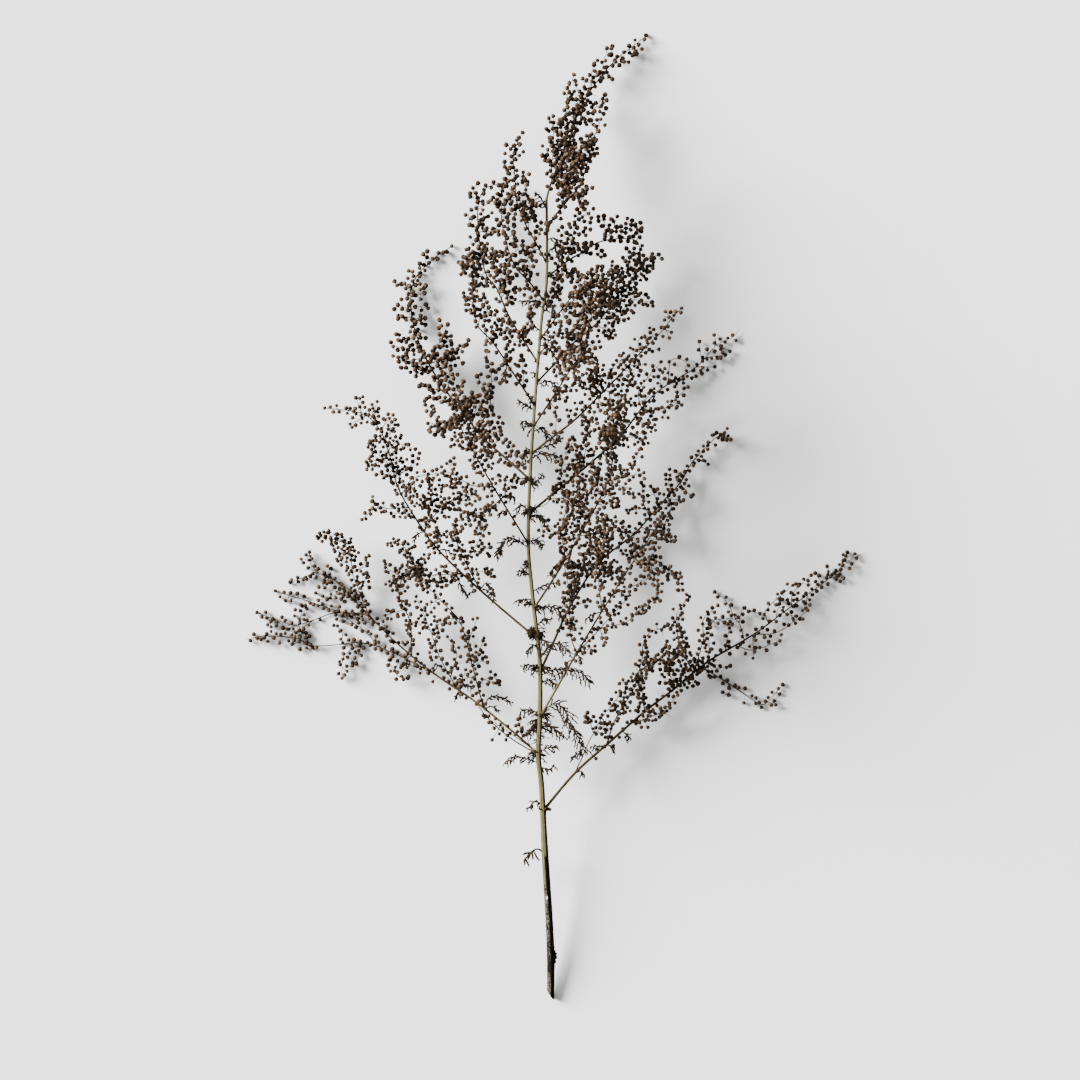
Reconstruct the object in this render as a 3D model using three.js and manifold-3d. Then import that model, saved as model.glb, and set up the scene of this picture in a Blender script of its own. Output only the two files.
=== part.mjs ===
// A dried flowering branch of sweet wormwood, lying down, in millimetres.
// The stem runs along +Y from its cut end, and +Z is up off the surface it lies on.

import * as THREE from 'three';
import { mergeVertices } from 'three/addons/utils/BufferGeometryUtils.js';
import Module from 'manifold-3d';

const wasm = await Module();
wasm.setup();

// Driving dimensions in millimetres
const HEAD_RADIUS = 1.45;
const HEAD_NECK = 1.1;
const HEAD_TIP = 1.2;
const STALK_RADIUS = 0.42;
const SPRIG_RADIUS = 0.48;
const SUNK_ROOT_RADIUS = 0.22;
const BRANCH_ROOT_RADIUS = 0.85;
const BRANCH_TIP_RADIUS = 0.5;
const LEAF_RIB_RADIUS = 0.6;
const LOBE_RADIUS = 0.42;
const LOBE_SPACING = 3.4;
const FITTED_GAP = 0.3;
const CLEARANCE = 0.4;
const SPRIG_CLEARANCE = 0.9;
const LOWEST_CENTRE = 1.5;
const LONG_SPRIG = 14.5;
const TWIG_SPACING = 3;
const TWIG_LENGTH = 4.2;
const TWIGS_PER_KEPT_HEAD = 40;
const BEAD_SPACING = 0.8;

// The main stem from its cut end: x, y, height of its middle, radius
const STEM = [
  [7, 0, 2.2, 2.2], [6, 39, 9, 1.95], [3, 89, 18, 1.8], [1, 128, 25, 1.6], [-1, 147, 28, 1.5],
  [0, 170, 32, 1.4], [0, 201, 36, 1.3], [-2, 221, 39, 1.2], [-5, 248, 42, 1.1], [-7, 275, 44.5, 1],
  [-6, 312, 47, 0.95], [-3, 359, 49.5, 0.85], [1, 408, 50, 0.8], [4, 432, 49.5, 0.75],
  [4, 481, 47, 0.7],
];

// Each spray: its branch as x, y pairs from the stem out, the height of its tip, the length at
// each end with no flower heads, and its sprigs as x, y pairs, each from the wood it grows on
const SPRAYS = [
  {
    name: 'leader_spray', tipHeight: 3, bareRoot: 8, bareTip: 0,
    path: [4, 482, 7, 491, 12, 498, 16, 510, 23, 533, 31, 547, 43, 562, 51, 569, 60, 576, 65, 580],
    sprigs: [
      [7, 492, 7, 501, 8, 511, 8, 529], [9, 493, 10, 507, 13, 517, 12, 527], [7, 501, 5, 509],
      [14, 496, 16, 513, 16, 541, 20, 554], [21, 527, 24, 538, 22, 548], [17, 528, 21, 539],
      [19, 516, 24, 528, 31, 533, 38, 542], [24, 527, 33, 528], [29, 545, 26, 552],
      [31, 547, 31, 556, 34, 563], [35, 553, 38, 562, 40, 570], [36, 551, 42, 553],
      [44, 560, 52, 563], [53, 569, 60, 571], [10, 492, 17, 498, 19, 507, 18, 513],
      [12, 491, 21, 493, 25, 501, 30, 511], [7, 491, 13, 490, 19, 485, 26, 480],
    ],
  },
  {
    name: 'right_spray_1', tipHeight: 2, bareRoot: 56, bareTip: 9,
    path: [3, 113, 21, 136, 40, 153, 63, 173, 80, 186, 101, 203, 128, 219, 151, 236, 174, 253,
      188, 265, 197, 268],
    sprigs: [
      [22, 136, 26, 147, 37, 169, 51, 186], [32, 160, 29, 171], [31, 158, 41, 166],
      [41, 154, 46, 170, 56, 186, 61, 204, 62, 213, 67, 221, 82, 225],
      [63, 173, 61, 190, 64, 198, 64, 207], [61, 194, 49, 190], [52, 163, 73, 173, 82, 182],
      [61, 197, 74, 206, 84, 211], [94, 197, 84, 213, 82, 231, 89, 241],
      [94, 197, 98, 216, 98, 228, 106, 236], [84, 188, 77, 196, 80, 201],
      [96, 197, 110, 192, 131, 178, 137, 179, 145, 188], [113, 190, 114, 185, 110, 182],
      [101, 204, 102, 224], [121, 217, 118, 228, 103, 228], [117, 229, 112, 239, 106, 244],
      [120, 225, 122, 234, 131, 232], [109, 209, 114, 226], [101, 202, 106, 199, 113, 200],
      [115, 211, 128, 210, 143, 215], [129, 219, 141, 220, 150, 225, 160, 233],
      [128, 218, 128, 206], [136, 224, 136, 234, 151, 248], [143, 230, 144, 240],
      [151, 236, 152, 244, 162, 254], [147, 231, 155, 229], [161, 243, 160, 236],
      [168, 248, 166, 255], [174, 253, 173, 261], [181, 260, 182, 266], [174, 253, 183, 254],
    ],
  },
  {
    name: 'right_spray_2', tipHeight: 75, bareRoot: 44, bareTip: 0,
    path: [1, 172, 10, 187, 22, 208, 37, 233, 52, 257, 60, 269, 70, 284, 73, 291],
    sprigs: [
      [21, 207, 18, 220, 18, 241, 14, 263], [24, 206, 36, 223, 53, 242], [24, 206, 32, 212],
      [34, 223, 37, 219, 38, 214], [38, 235, 35, 255, 37, 264, 36, 273],
      [36, 223, 52, 227, 59, 235], [60, 263, 66, 258, 71, 244, 59, 233],
      [45, 244, 57, 249, 65, 253], [38, 234, 46, 232], [52, 257, 40, 256],
      [58, 264, 71, 263, 82, 251], [65, 278, 71, 281, 79, 276], [62, 273, 68, 274],
      [65, 254, 67, 260],
    ],
  },
  {
    name: 'right_spray_3', tipHeight: 6, bareRoot: 32, bareTip: 0,
    path: [1, 199, 7, 212, 18, 236, 35, 262, 57, 280, 71, 296, 84, 310, 91, 322, 104, 336, 110, 340],
    sprigs: [
      [14, 227, 13, 234, 17, 247], [18, 236, 29, 239], [15, 229, 19, 224, 24, 223],
      [19, 240, 21, 252, 26, 258], [25, 247, 18, 259, 16, 269], [29, 254, 31, 271, 30, 281],
      [35, 262, 41, 260, 48, 254], [35, 262, 34, 282], [44, 270, 37, 281, 39, 287],
      [50, 275, 52, 282, 46, 289], [57, 280, 43, 282], [57, 280, 55, 273, 56, 267],
      [67, 290, 62, 299, 61, 309], [63, 294, 55, 294], [71, 296, 67, 307],
      [62, 284, 69, 282, 72, 289], [66, 281, 76, 282], [69, 279, 80, 276],
      [76, 301, 79, 296, 75, 286], [77, 301, 85, 300], [84, 310, 90, 303], [80, 305, 76, 314],
      [86, 315, 79, 318], [92, 325, 100, 322],
    ],
  },
  {
    name: 'right_spray_4', tipHeight: 95, bareRoot: 30, bareTip: 0,
    path: [-2, 238, 7, 251, 21, 274, 34, 297, 41, 314, 44, 327, 43, 337, 46, 357],
    sprigs: [
      [14, 263, 13, 285, 23, 306], [16, 291, 23, 290], [14, 263, 21, 261, 27, 264],
      [21, 273, 16, 281, 20, 284], [25, 281, 24, 301, 23, 319], [25, 281, 30, 278, 31, 272],
      [29, 289, 24, 298], [34, 297, 31, 312], [37, 303, 34, 309, 32, 321], [35, 294, 46, 299],
      [37, 288, 41, 284], [35, 297, 43, 306], [40, 310, 53, 307], [41, 312, 61, 316],
      [47, 314, 56, 322, 59, 329], [44, 327, 36, 332, 40, 338],
    ],
  },
  {
    name: 'right_spray_5', tipHeight: 2, bareRoot: 20, bareTip: 6,
    path: [-5, 295, 12, 307, 30, 322, 48, 338, 61, 355, 73, 367, 94, 380, 106, 393, 116, 398,
      120, 403],
    sprigs: [
      [13, 307, 14, 323, 20, 335], [19, 313, 23, 325, 22, 333], [23, 317, 28, 333, 26, 349],
      [30, 322, 33, 318, 32, 311], [39, 325, 48, 317], [43, 333, 36, 342],
      [45, 335, 61, 340], [53, 345, 48, 348], [48, 338, 40, 341], [58, 349, 66, 344],
      [61, 355, 59, 365, 66, 375, 72, 382], [60, 360, 64, 361, 68, 366],
      [61, 353, 71, 354, 82, 358], [75, 355, 88, 367], [73, 367, 72, 375, 76, 376],
      [78, 372, 79, 384, 88, 383, 87, 379], [75, 369, 90, 373], [89, 377, 96, 376],
      [94, 380, 104, 380], [97, 385, 96, 394], [99, 388, 110, 387], [106, 393, 113, 390],
      [106, 393, 105, 398],
    ],
  },
  {
    name: 'right_spray_6', tipHeight: 80, bareRoot: 18, bareTip: 0,
    path: [-4, 330, 8, 338, 22, 349, 43, 370, 60, 388, 73, 401, 79, 409, 84, 414],
    sprigs: [
      [23, 350, 17, 353], [25, 351, 30, 342], [29, 355, 22, 358], [30, 356, 34, 347],
      [34, 360, 28, 363], [34, 361, 32, 375, 34, 380], [36, 362, 35, 371, 37, 377],
      [39, 365, 52, 359], [41, 362, 44, 347, 43, 339], [46, 360, 46, 347], [36, 359, 39, 353],
      [43, 370, 44, 380, 57, 389], [43, 367, 51, 366], [47, 374, 56, 371], [50, 376, 58, 375],
      [55, 383, 59, 378], [60, 388, 59, 396, 65, 397], [60, 386, 70, 390], [56, 381, 62, 381],
      [69, 397, 66, 402], [74, 403, 77, 398], [79, 409, 76, 412],
    ],
  },
  {
    name: 'right_spray_7', tipHeight: 105, bareRoot: 14, bareTip: 0,
    path: [-3, 346, 6, 359, 17, 376, 24, 387, 29, 402, 31, 411],
    sprigs: [
      [7, 360, 10, 352, 9, 342], [9, 363, 17, 367, 28, 372], [12, 369, 16, 391],
      [21, 382, 23, 373], [21, 382, 28, 382], [25, 389, 31, 383], [17, 377, 18, 384],
      [26, 393, 23, 404], [29, 401, 27, 409, 29, 416], [30, 408, 37, 419], [6, 361, 15, 361],
    ],
  },
  {
    name: 'right_spray_8', tipHeight: 12, bareRoot: 14, bareTip: 4,
    path: [-2, 373, 9, 382, 21, 395, 34, 406, 47, 422, 59, 434, 63, 439, 70, 447],
    sprigs: [
      [11, 383, 10, 393], [17, 390, 19, 400], [21, 394, 22, 404], [23, 395, 35, 392],
      [20, 393, 27, 386], [29, 402, 25, 407, 29, 413], [34, 406, 43, 398],
      [36, 407, 52, 409], [40, 413, 47, 413, 54, 418], [38, 411, 29, 429],
      [41, 415, 36, 427], [44, 419, 40, 430], [47, 422, 49, 418, 56, 417],
      [49, 424, 55, 421, 66, 419], [53, 427, 64, 422], [47, 422, 49, 438], [48, 433, 44, 442],
      [56, 432, 54, 442], [60, 436, 60, 442, 57, 447],
    ],
  },
  {
    name: 'right_spray_9_low', tipHeight: 62, bareRoot: 5, bareTip: 0,
    path: [-1, 388, 4, 393, 7, 397, 11, 401],
    sprigs: [[7, 396, 8, 391, 13, 389]],
  },
  {
    name: 'right_spray_9', tipHeight: 88, bareRoot: 11, bareTip: 0,
    path: [1, 398, 8, 407, 16, 418, 24, 426, 32, 430, 38, 428],
    sprigs: [
      [13, 413, 21, 417], [15, 417, 19, 412], [16, 419, 23, 420], [13, 413, 16, 408],
      [24, 426, 29, 435, 36, 439], [28, 429, 38, 433, 45, 431], [28, 428, 40, 418],
      [30, 426, 31, 420, 29, 414],
    ],
  },
  {
    name: 'right_spray_10', tipHeight: 18, bareRoot: 9, bareTip: 0,
    path: [4, 433, 16, 443, 26, 449, 36, 455, 51, 457, 59, 454, 61, 440],
    sprigs: [
      [16, 443, 19, 456, 24, 476], [19, 455, 14, 458], [23, 467, 31, 474], [22, 461, 29, 462],
      [18, 450, 13, 452], [19, 452, 26, 451], [12, 440, 11, 447], [13, 440, 19, 437],
      [34, 453, 38, 448], [38, 455, 42, 462, 36, 469], [43, 457, 46, 469],
      [47, 457, 50, 461, 59, 466], [51, 460, 52, 468], [58, 456, 61, 465], [60, 450, 51, 446],
      [61, 445, 56, 439], [61, 443, 70, 447], [6, 434, 12, 432], [9, 433, 8, 423],
    ],
  },
  {
    name: 'right_spray_11', tipHeight: 62, bareRoot: 6, bareTip: 0,
    path: [4, 460, 8, 469, 17, 480, 24, 489, 29, 504, 32, 516, 36, 527],
    sprigs: [
      [13, 476, 16, 492, 14, 503], [12, 477, 11, 490], [18, 480, 18, 489, 20, 507],
      [22, 484, 27, 479], [23, 486, 30, 487], [26, 497, 22, 510], [29, 504, 25, 510, 29, 517],
    ],
  },
  {
    name: 'left_spray_1', tipHeight: 3, bareRoot: 48, bareTip: 0,
    path: [-1, 147, -14, 159, -39, 179, -64, 196, -86, 214, -107, 235, -121, 250, -134, 257,
      -140, 266],
    sprigs: [
      [-6, 152, -24, 164, -33, 170], [-24, 164, -28, 157], [-10, 156, -13, 167],
      [-34, 175, -39, 194, -47, 225, -58, 238, -72, 253], [-39, 194, -46, 192, -48, 186],
      [-40, 191, -29, 194, -25, 190], [-39, 202, -33, 205], [-40, 201, -34, 216],
      [-46, 216, -38, 228], [-47, 225, -53, 229, -61, 225],
      [-49, 185, -60, 205, -66, 222, -74, 241], [-54, 194, -50, 208, -55, 217],
      [-50, 188, -45, 197], [-64, 215, -61, 222, -63, 229], [-66, 221, -77, 227],
      [-60, 240, -68, 236], [-64, 215, -65, 205],
      [-77, 209, -78, 227, -85, 245, -78, 266, -87, 276], [-80, 233, -92, 231],
      [-84, 252, -92, 259], [-83, 255, -89, 249], [-81, 255, -72, 264],
      [-66, 197, -88, 208, -107, 214, -137, 212, -146, 217, -167, 218, -176, 216],
      [-104, 232, -123, 232, -145, 225, -156, 227, -169, 232],
      [-120, 232, -139, 239, -158, 245], [-136, 227, -146, 221], [-137, 212, -144, 221],
      [-98, 214, -104, 220, -118, 230], [-107, 214, -118, 206, -119, 194], [-107, 213, -110, 203],
      [-119, 213, -119, 221, -123, 224], [-88, 208, -91, 204, -85, 194, -80, 194],
      [-103, 230, -113, 256], [-113, 255, -114, 267, -119, 275, -126, 281],
      [-119, 275, -133, 278], [-114, 267, -122, 269], [-113, 256, -105, 260], [-110, 250, -104, 251],
      [-126, 253, -127, 261], [-134, 257, -149, 251], [-126, 252, -134, 245],
      [-117, 244, -132, 240], [-94, 217, -94, 226], [-144, 226, -143, 235],
    ],
  },
  {
    name: 'left_spray_2', tipHeight: 40, bareRoot: 56, bareTip: 0,
    path: [-2, 220, -8, 222, -36, 246, -61, 270, -74, 288, -85, 307, -90, 326, -96, 342,
      -107, 352, -128, 355],
    sprigs: [
      [-49, 257, -65, 255, -76, 258], [-36, 248, -49, 272, -51, 284, -46, 289, -28, 295],
      [-42, 262, -36, 277, -34, 287], [-42, 264, -50, 267], [-39, 258, -32, 257],
      [-38, 268, -31, 271], [-52, 278, -60, 281], [-60, 270, -62, 282],
      [-69, 281, -65, 300, -64, 312], [-68, 282, -58, 297, -40, 303], [-58, 296, -50, 298],
      [-76, 290, -88, 292], [-79, 294, -89, 295, -99, 295, -106, 289], [-98, 295, -100, 301],
      [-82, 302, -76, 313, -60, 316], [-76, 313, -74, 299], [-89, 318, -102, 333],
      [-94, 323, -103, 323], [-89, 318, -93, 314], [-88, 313, -80, 318, -73, 327],
      [-89, 322, -81, 324], [-90, 326, -84, 333, -76, 331], [-91, 331, -84, 338],
      [-94, 337, -86, 344], [-95, 341, -89, 350], [-94, 338, -101, 336], [-97, 344, -100, 354],
      [-102, 350, -98, 358], [-104, 350, -113, 346], [-108, 353, -110, 360],
    ],
  },
  {
    name: 'left_spray_3', tipHeight: 2, bareRoot: 15, bareTip: 0,
    path: [-6, 313, -17, 322, -35, 338, -44, 350, -56, 365, -69, 386, -77, 410, -76, 431,
      -64, 445, -54, 452],
    sprigs: [
      [-17, 322, -14, 327, -20, 335], [-15, 322, -8, 323], [-24, 327, -19, 322],
      [-29, 334, -24, 338], [-37, 342, -27, 340, -23, 345],
      [-36, 343, -30, 358, -29, 373, -32, 388], [-34, 349, -28, 341], [-30, 362, -37, 373],
      [-29, 375, -24, 380], [-39, 345, -38, 360, -44, 361], [-41, 347, -41, 363],
      [-35, 338, -31, 331, -31, 322], [-38, 342, -42, 332], [-44, 350, -56, 347, -66, 346],
      [-54, 347, -62, 340], [-48, 355, -59, 361], [-49, 359, -43, 358], [-60, 347, -68, 356],
      [-56, 365, -68, 360], [-57, 367, -71, 368], [-53, 363, -47, 370], [-55, 366, -54, 375, -57, 384],
      [-66, 378, -76, 382, -87, 386], [-65, 380, -50, 389, -44, 395],
      [-66, 383, -60, 395, -56, 404], [-61, 392, -55, 395], [-70, 386, -79, 383],
      [-71, 390, -87, 392], [-73, 393, -84, 396], [-76, 402, -82, 396], [-76, 408, -84, 409],
      [-77, 411, -70, 406], [-75, 401, -70, 398], [-77, 416, -84, 417], [-77, 415, -70, 417],
      [-76, 422, -82, 421], [-76, 423, -71, 424], [-76, 428, -86, 431], [-76, 431, -71, 428],
      [-75, 433, -78, 437], [-69, 441, -68, 448],
    ],
  },
  {
    name: 'left_spray_4', tipHeight: 88, bareRoot: 22, bareTip: 0,
    path: [-6, 276, -17, 290, -28, 308, -41, 331, -48, 345, -47, 353, -49, 360],
    sprigs: [
      [-28, 308, -42, 309, -53, 318, -52, 324], [-50, 313, -56, 317], [-49, 312, -58, 307],
      [-23, 299, -35, 290, -34, 280], [-22, 301, -16, 310, -10, 311], [-28, 309, -31, 303],
      [-30, 312, -25, 314], [-32, 315, -26, 322], [-36, 322, -31, 332], [-40, 328, -40, 322],
      [-40, 328, -35, 332, -35, 338], [-46, 338, -49, 337, -47, 332], [-46, 340, -37, 341],
      [-48, 345, -58, 343], [-47, 351, -42, 349],
    ],
  },
  {
    name: 'left_spray_5', tipHeight: 92, bareRoot: 13, bareTip: 0,
    path: [-3, 358, -14, 373, -28, 394, -37, 404, -40, 417, -40, 435, -40, 447],
    sprigs: [
      [-10, 368, -11, 385], [-19, 379, -19, 395, -17, 403], [-18, 395, -13, 395],
      [-23, 386, -16, 382], [-28, 394, -24, 401], [-30, 397, -23, 406],
      [-33, 399, -33, 408, -31, 414], [-32, 407, -28, 410], [-37, 405, -34, 422],
      [-34, 415, -27, 413], [-39, 410, -44, 416], [-40, 417, -45, 423], [-40, 420, -35, 421],
      [-40, 426, -35, 432], [-40, 429, -38, 440, -37, 449], [-40, 439, -44, 440],
      [-19, 378, -23, 371], [-32, 397, -31, 390],
    ],
  },
  {
    name: 'left_spray_6', tipHeight: 10, bareRoot: 12, bareTip: 0,
    path: [-1, 385, -10, 396, -19, 411, -26, 427, -33, 437, -37, 461, -37, 477, -33, 487, -21, 491],
    sprigs: [
      [-10, 397, -6, 410, -2, 422], [-16, 407, -21, 398], [-21, 414, -22, 408],
      [-23, 418, -16, 420], [-23, 420, -21, 426, -23, 434, -19, 443], [-21, 425, -16, 427],
      [-22, 429, -15, 434], [-29, 431, -34, 430], [-33, 437, -37, 433, -40, 427],
      [-33, 439, -28, 437], [-34, 442, -27, 443], [-34, 443, -41, 447], [-35, 451, -26, 447],
      [-37, 460, -27, 462, -26, 467], [-36, 453, -41, 457], [-37, 459, -43, 469, -42, 473],
      [-37, 469, -30, 472], [-37, 480, -41, 483, -38, 489], [-37, 475, -32, 478],
    ],
  },
  {
    name: 'left_spray_7', tipHeight: 80, bareRoot: 10, bareTip: 0,
    path: [3, 419, -5, 429, -14, 439, -19, 450, -23, 467, -23, 475, -25, 482],
    sprigs: [
      [-8, 432, -6, 439, -8, 446], [-12, 437, -9, 442], [-17, 444, -11, 454],
      [-17, 444, -25, 448], [-17, 444, -21, 438], [-20, 454, -15, 455],
      [-21, 457, -17, 459, -19, 465], [-22, 463, -17, 464], [-23, 467, -17, 468],
      [-23, 470, -16, 471], [-23, 474, -16, 482], [-24, 476, -28, 479],
    ],
  },
  {
    name: 'left_spray_8', tipHeight: 62, bareRoot: 8, bareTip: 0,
    path: [4, 444, -3, 455, -9, 466, -14, 479, -15, 493, -16, 506, -14, 513, -11, 519],
    sprigs: [
      [-6, 460, -2, 460, 0, 465], [-7, 462, -7, 471, -5, 478], [-11, 470, -6, 470],
      [0, 449, -6, 451], [-13, 478, -8, 480], [-14, 483, -8, 485, -10, 489],
      [-15, 485, -20, 487], [-15, 490, -20, 492], [-15, 493, -8, 495], [-16, 497, -20, 499],
      [-16, 503, -20, 507], [-16, 506, -11, 508], [-15, 509, -19, 512], [-15, 483, -20, 480],
    ],
  },
];

// Each dried leaf by the stem: its name and its rib as x, y pairs from the stem out
const LEAVES = [
  ['leaf_01_left', [3, 86, 0, 90, -5, 89, -10, 83]],
  ['leaf_02_left', [2, 117, -3, 119, -6, 115]],
  ['leaf_03_left', [-1, 142, -9, 145, -15, 146, -20, 142]],
  ['leaf_04_right', [-1, 148, 4, 151, 11, 152]],
  ['leaf_05_right', [0, 140, 5, 138, 9, 141]],
  ['leaf_06_left', [0, 171, -6, 174, -12, 173]],
  ['leaf_07_left', [0, 167, -5, 163, -9, 158]],
  ['leaf_08_right', [1, 177, 9, 178, 16, 172, 17, 166, 22, 159, 27, 149]],
  ['leaf_09_right', [1, 167, 7, 164, 14, 157]],
  ['leaf_10_left', [0, 198, -6, 201, -11, 200]],
  ['leaf_11_right', [0, 204, 5, 211, 11, 214, 18, 209]],
  ['leaf_12_right', [1, 194, 8, 198, 23, 197, 31, 190]],
  ['leaf_13_right', [1, 190, 6, 192, 10, 188]],
  ['leaf_14_right', [-2, 224, 2, 228, 7, 228]],
  ['leaf_15_right', [-1, 216, 3, 215, 6, 211]],
  ['leaf_16_left', [-1, 214, -5, 212, -8, 208]],
  ['leaf_17_left', [-4, 236, -9, 240, -14, 239]],
  ['leaf_18_right', [-3, 233, 4, 236, 11, 234, 14, 228]],
  ['leaf_19_right', [-4, 245, 3, 249, 10, 250]],
  ['leaf_20_left', [-6, 253, -9, 257, -14, 257]],
  ['leaf_21_left', [-7, 271, -14, 276, -21, 276, -26, 266]],
  ['leaf_22_right', [-7, 275, -2, 276, 2, 272]],
  ['leaf_23_right', [-6, 289, -1, 291, 3, 287]],
  ['leaf_24_left', [-6, 293, -11, 297, -15, 294]],
  ['leaf_25_right', [-6, 309, -1, 312, 2, 316]],
  ['leaf_26_left', [-5, 326, -9, 330, -9, 323]],
  ['leaf_27_right', [-5, 325, 2, 328, 10, 326]],
  ['leaf_28_left', [-4, 343, -9, 347, -12, 345]],
  ['leaf_29_right', [-4, 341, 2, 343, 6, 336]],
  ['leaf_30_left', [-3, 354, -9, 357, -13, 360]],
  ['leaf_31_right', [-2, 369, 4, 371, 9, 369, 11, 363]],
  ['leaf_32_right', [0, 393, 5, 391, 9, 385]],
  ['leaf_33_left', [0, 401, -4, 404, -8, 401]],
  ['leaf_34_left', [2, 415, -5, 419, -12, 419]],
  ['leaf_35_right', [2, 412, 7, 417, 9, 411]],
  ['leaf_36_right', [4, 456, 9, 457, 10, 453, 7, 449]],
  ['leaf_37_left', [4, 474, 0, 482, -3, 484]],
];

// Seeded draws between 0 and 1, the same on every run
function drawsFrom(seed) {
  let state = seed * 7919 + 12345;
  return () => {
    state = (state * 16807) % 2147483647;
    return state / 2147483647;
  };
}

// Directions across a line of points, turned as little as possible from one point to the next
function framesAlong(points) {
  const last = points.length - 1;
  const normal = new THREE.Vector3(0.31, 0.17, 1);
  return points.map((point, i) => {
    const [before, after] = [points[Math.max(i - 1, 0)], points[Math.min(i + 1, last)]];
    const run = after.clone().sub(before).normalize();
    if (i === 0 && Math.abs(run.dot(normal.normalize())) > 0.9) {
      normal.set(1, 0.2, 0.1);
    }
    normal.addScaledVector(run, -run.dot(normal)).normalize();
    return { across: normal.clone(), aside: normal.clone().cross(run) };
  });
}

// A straight cylinder bent along the points, with its own radius at each of them.
// Every second corner is drawn in by the rib depth.
function rodGeometry(points, radii, sides, ribDepth = 0) {
  const bands = points.length - 1;
  const geometry = new THREE.CylinderGeometry(radii[bands] > 0 ? 1 : 0, 1, 1, sides, bands);
  const frames = framesAlong(points);
  const position = geometry.getAttribute('position');
  const corner = new THREE.Vector3();
  for (let i = 0; i < position.count; i += 1) {
    corner.fromBufferAttribute(position, i);
    const ring = Math.round((corner.y + 0.5) * bands);
    const angle = Math.atan2(corner.x, corner.z);
    const drawnIn = Math.round((angle / (2 * Math.PI)) * sides) % 2 === 0 ? 0 : ribDepth;
    const reach = Math.hypot(corner.x, corner.z) < 0.001 ? 0 : radii[ring] * (1 - drawnIn);
    corner.copy(points[ring]);
    corner.addScaledVector(frames[ring].across, reach * Math.sin(angle));
    corner.addScaledVector(frames[ring].aside, reach * Math.cos(angle));
    position.setXYZ(i, corner.x, corner.y, corner.z);
  }
  return geometry;
}

// A closed geometry as a solid that can be joined and cut
function solidOf(geometry) {
  geometry.deleteAttribute('normal');
  geometry.deleteAttribute('uv');
  const merged = mergeVertices(geometry, 0.0001);
  return new wasm.Manifold(new wasm.Mesh({
    numProp: 3,
    vertProperties: Float32Array.from(merged.getAttribute('position').array),
    triVerts: Uint32Array.from(merged.getIndex().array),
  }));
}

function rod(points, radii, sides, ribDepth = 0) {
  return solidOf(rodGeometry(points, radii, sides, ribDepth));
}

function joined(solids) {
  return solids.reduce((whole, piece) => whole.add(piece));
}

// The largest body of a solid, without scraps that a cut leaves loose
function largestBody(solid) {
  return solid.decompose().reduce((best, body) => (body.volume() > best.volume() ? body : best));
}

function geometryOf(solid) {
  const mesh = solid.getMesh();
  const geometry = new THREE.BufferGeometry();
  const corners = Float32Array.from(mesh.vertProperties);
  geometry.setAttribute('position', new THREE.BufferAttribute(corners, 3));
  geometry.setIndex(new THREE.BufferAttribute(Uint32Array.from(mesh.triVerts), 1));
  geometry.computeVertexNormals();
  return geometry;
}

// Pairs of numbers as points in the plane of the surface
function pairs(flat) {
  const points = [];
  for (let i = 0; i < flat.length; i += 2) {
    points.push(new THREE.Vector2(flat[i], flat[i + 1]));
  }
  return points;
}

// The length of a line of points up to each of them
function lengthsOf(points) {
  const lengths = [0];
  for (let i = 1; i < points.length; i += 1) {
    lengths.push(lengths[i - 1] + points[i].distanceTo(points[i - 1]));
  }
  return lengths;
}

// The point and direction at a given length along a line of points
function along(points, length) {
  const lengths = lengthsOf(points);
  let i = 1;
  while (i < points.length - 1 && lengths[i] < length) {
    i += 1;
  }
  const share = (length - lengths[i - 1]) / (lengths[i] - lengths[i - 1]);
  return {
    point: points[i - 1].clone().lerp(points[i], share),
    direction: points[i].clone().sub(points[i - 1]).normalize(),
  };
}

// The middle of the stem and its radius at a given distance from the cut end
function stemAt(y) {
  let i = 1;
  while (i < STEM.length - 1 && STEM[i][1] < y) {
    i += 1;
  }
  const [low, high] = [STEM[i - 1], STEM[i]];
  const share = (y - low[1]) / (high[1] - low[1]);
  const mixed = low.map((value, k) => value + (high[k] - value) * share);
  return { point: new THREE.Vector3(mixed[0], y, mixed[2]), radius: mixed[3] };
}

// Small balls along every piece of wood, leaf and head, to keep one node clear of the next
const beads = [];

function beadsOn(points, radius) {
  const found = [];
  for (let i = 1; i < points.length; i += 1) {
    const steps = Math.ceil(points[i].distanceTo(points[i - 1]) / BEAD_SPACING);
    for (let k = 0; k <= steps; k += 1) {
      found.push({ point: points[i - 1].clone().lerp(points[i], k / steps), radius });
    }
  }
  return found;
}

function claim(owner, found) {
  for (const bead of found) {
    beads.push({ owner, ...bead });
  }
}

// The least gap between these beads and those of any other node
function room(owner, found) {
  let least = Infinity;
  for (const bead of beads) {
    if (bead.owner === owner) {
      continue;
    }
    for (const own of found) {
      const gap = own.point.distanceTo(bead.point) - own.radius - bead.radius;
      least = Math.min(least, gap);
    }
  }
  return least;
}

// Beads that lie outside the stem, for wood and leaves that grow out of it
function outsideStem(found) {
  return found.filter(({ point, radius }) => {
    const stem = stemAt(point.y);
    return point.distanceTo(stem.point) > stem.radius + radius + FITTED_GAP;
  });
}

// The branch of a spray in space: it leaves the stem and levels out towards its tip's height
function branchCurve(spray) {
  const flat = pairs(spray.path);
  const lengths = lengthsOf(flat);
  const start = stemAt(flat[0].y);
  return flat.map((point, i) => {
    if (i === 0) {
      return start.point.clone();
    }
    const share = 1 - (1 - lengths[i] / lengths[lengths.length - 1]) ** 1.8;
    const height = start.point.z + (spray.tipHeight - start.point.z) * share;
    return new THREE.Vector3(point.x, point.y, Math.max(height, LOWEST_CENTRE));
  });
}

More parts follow.
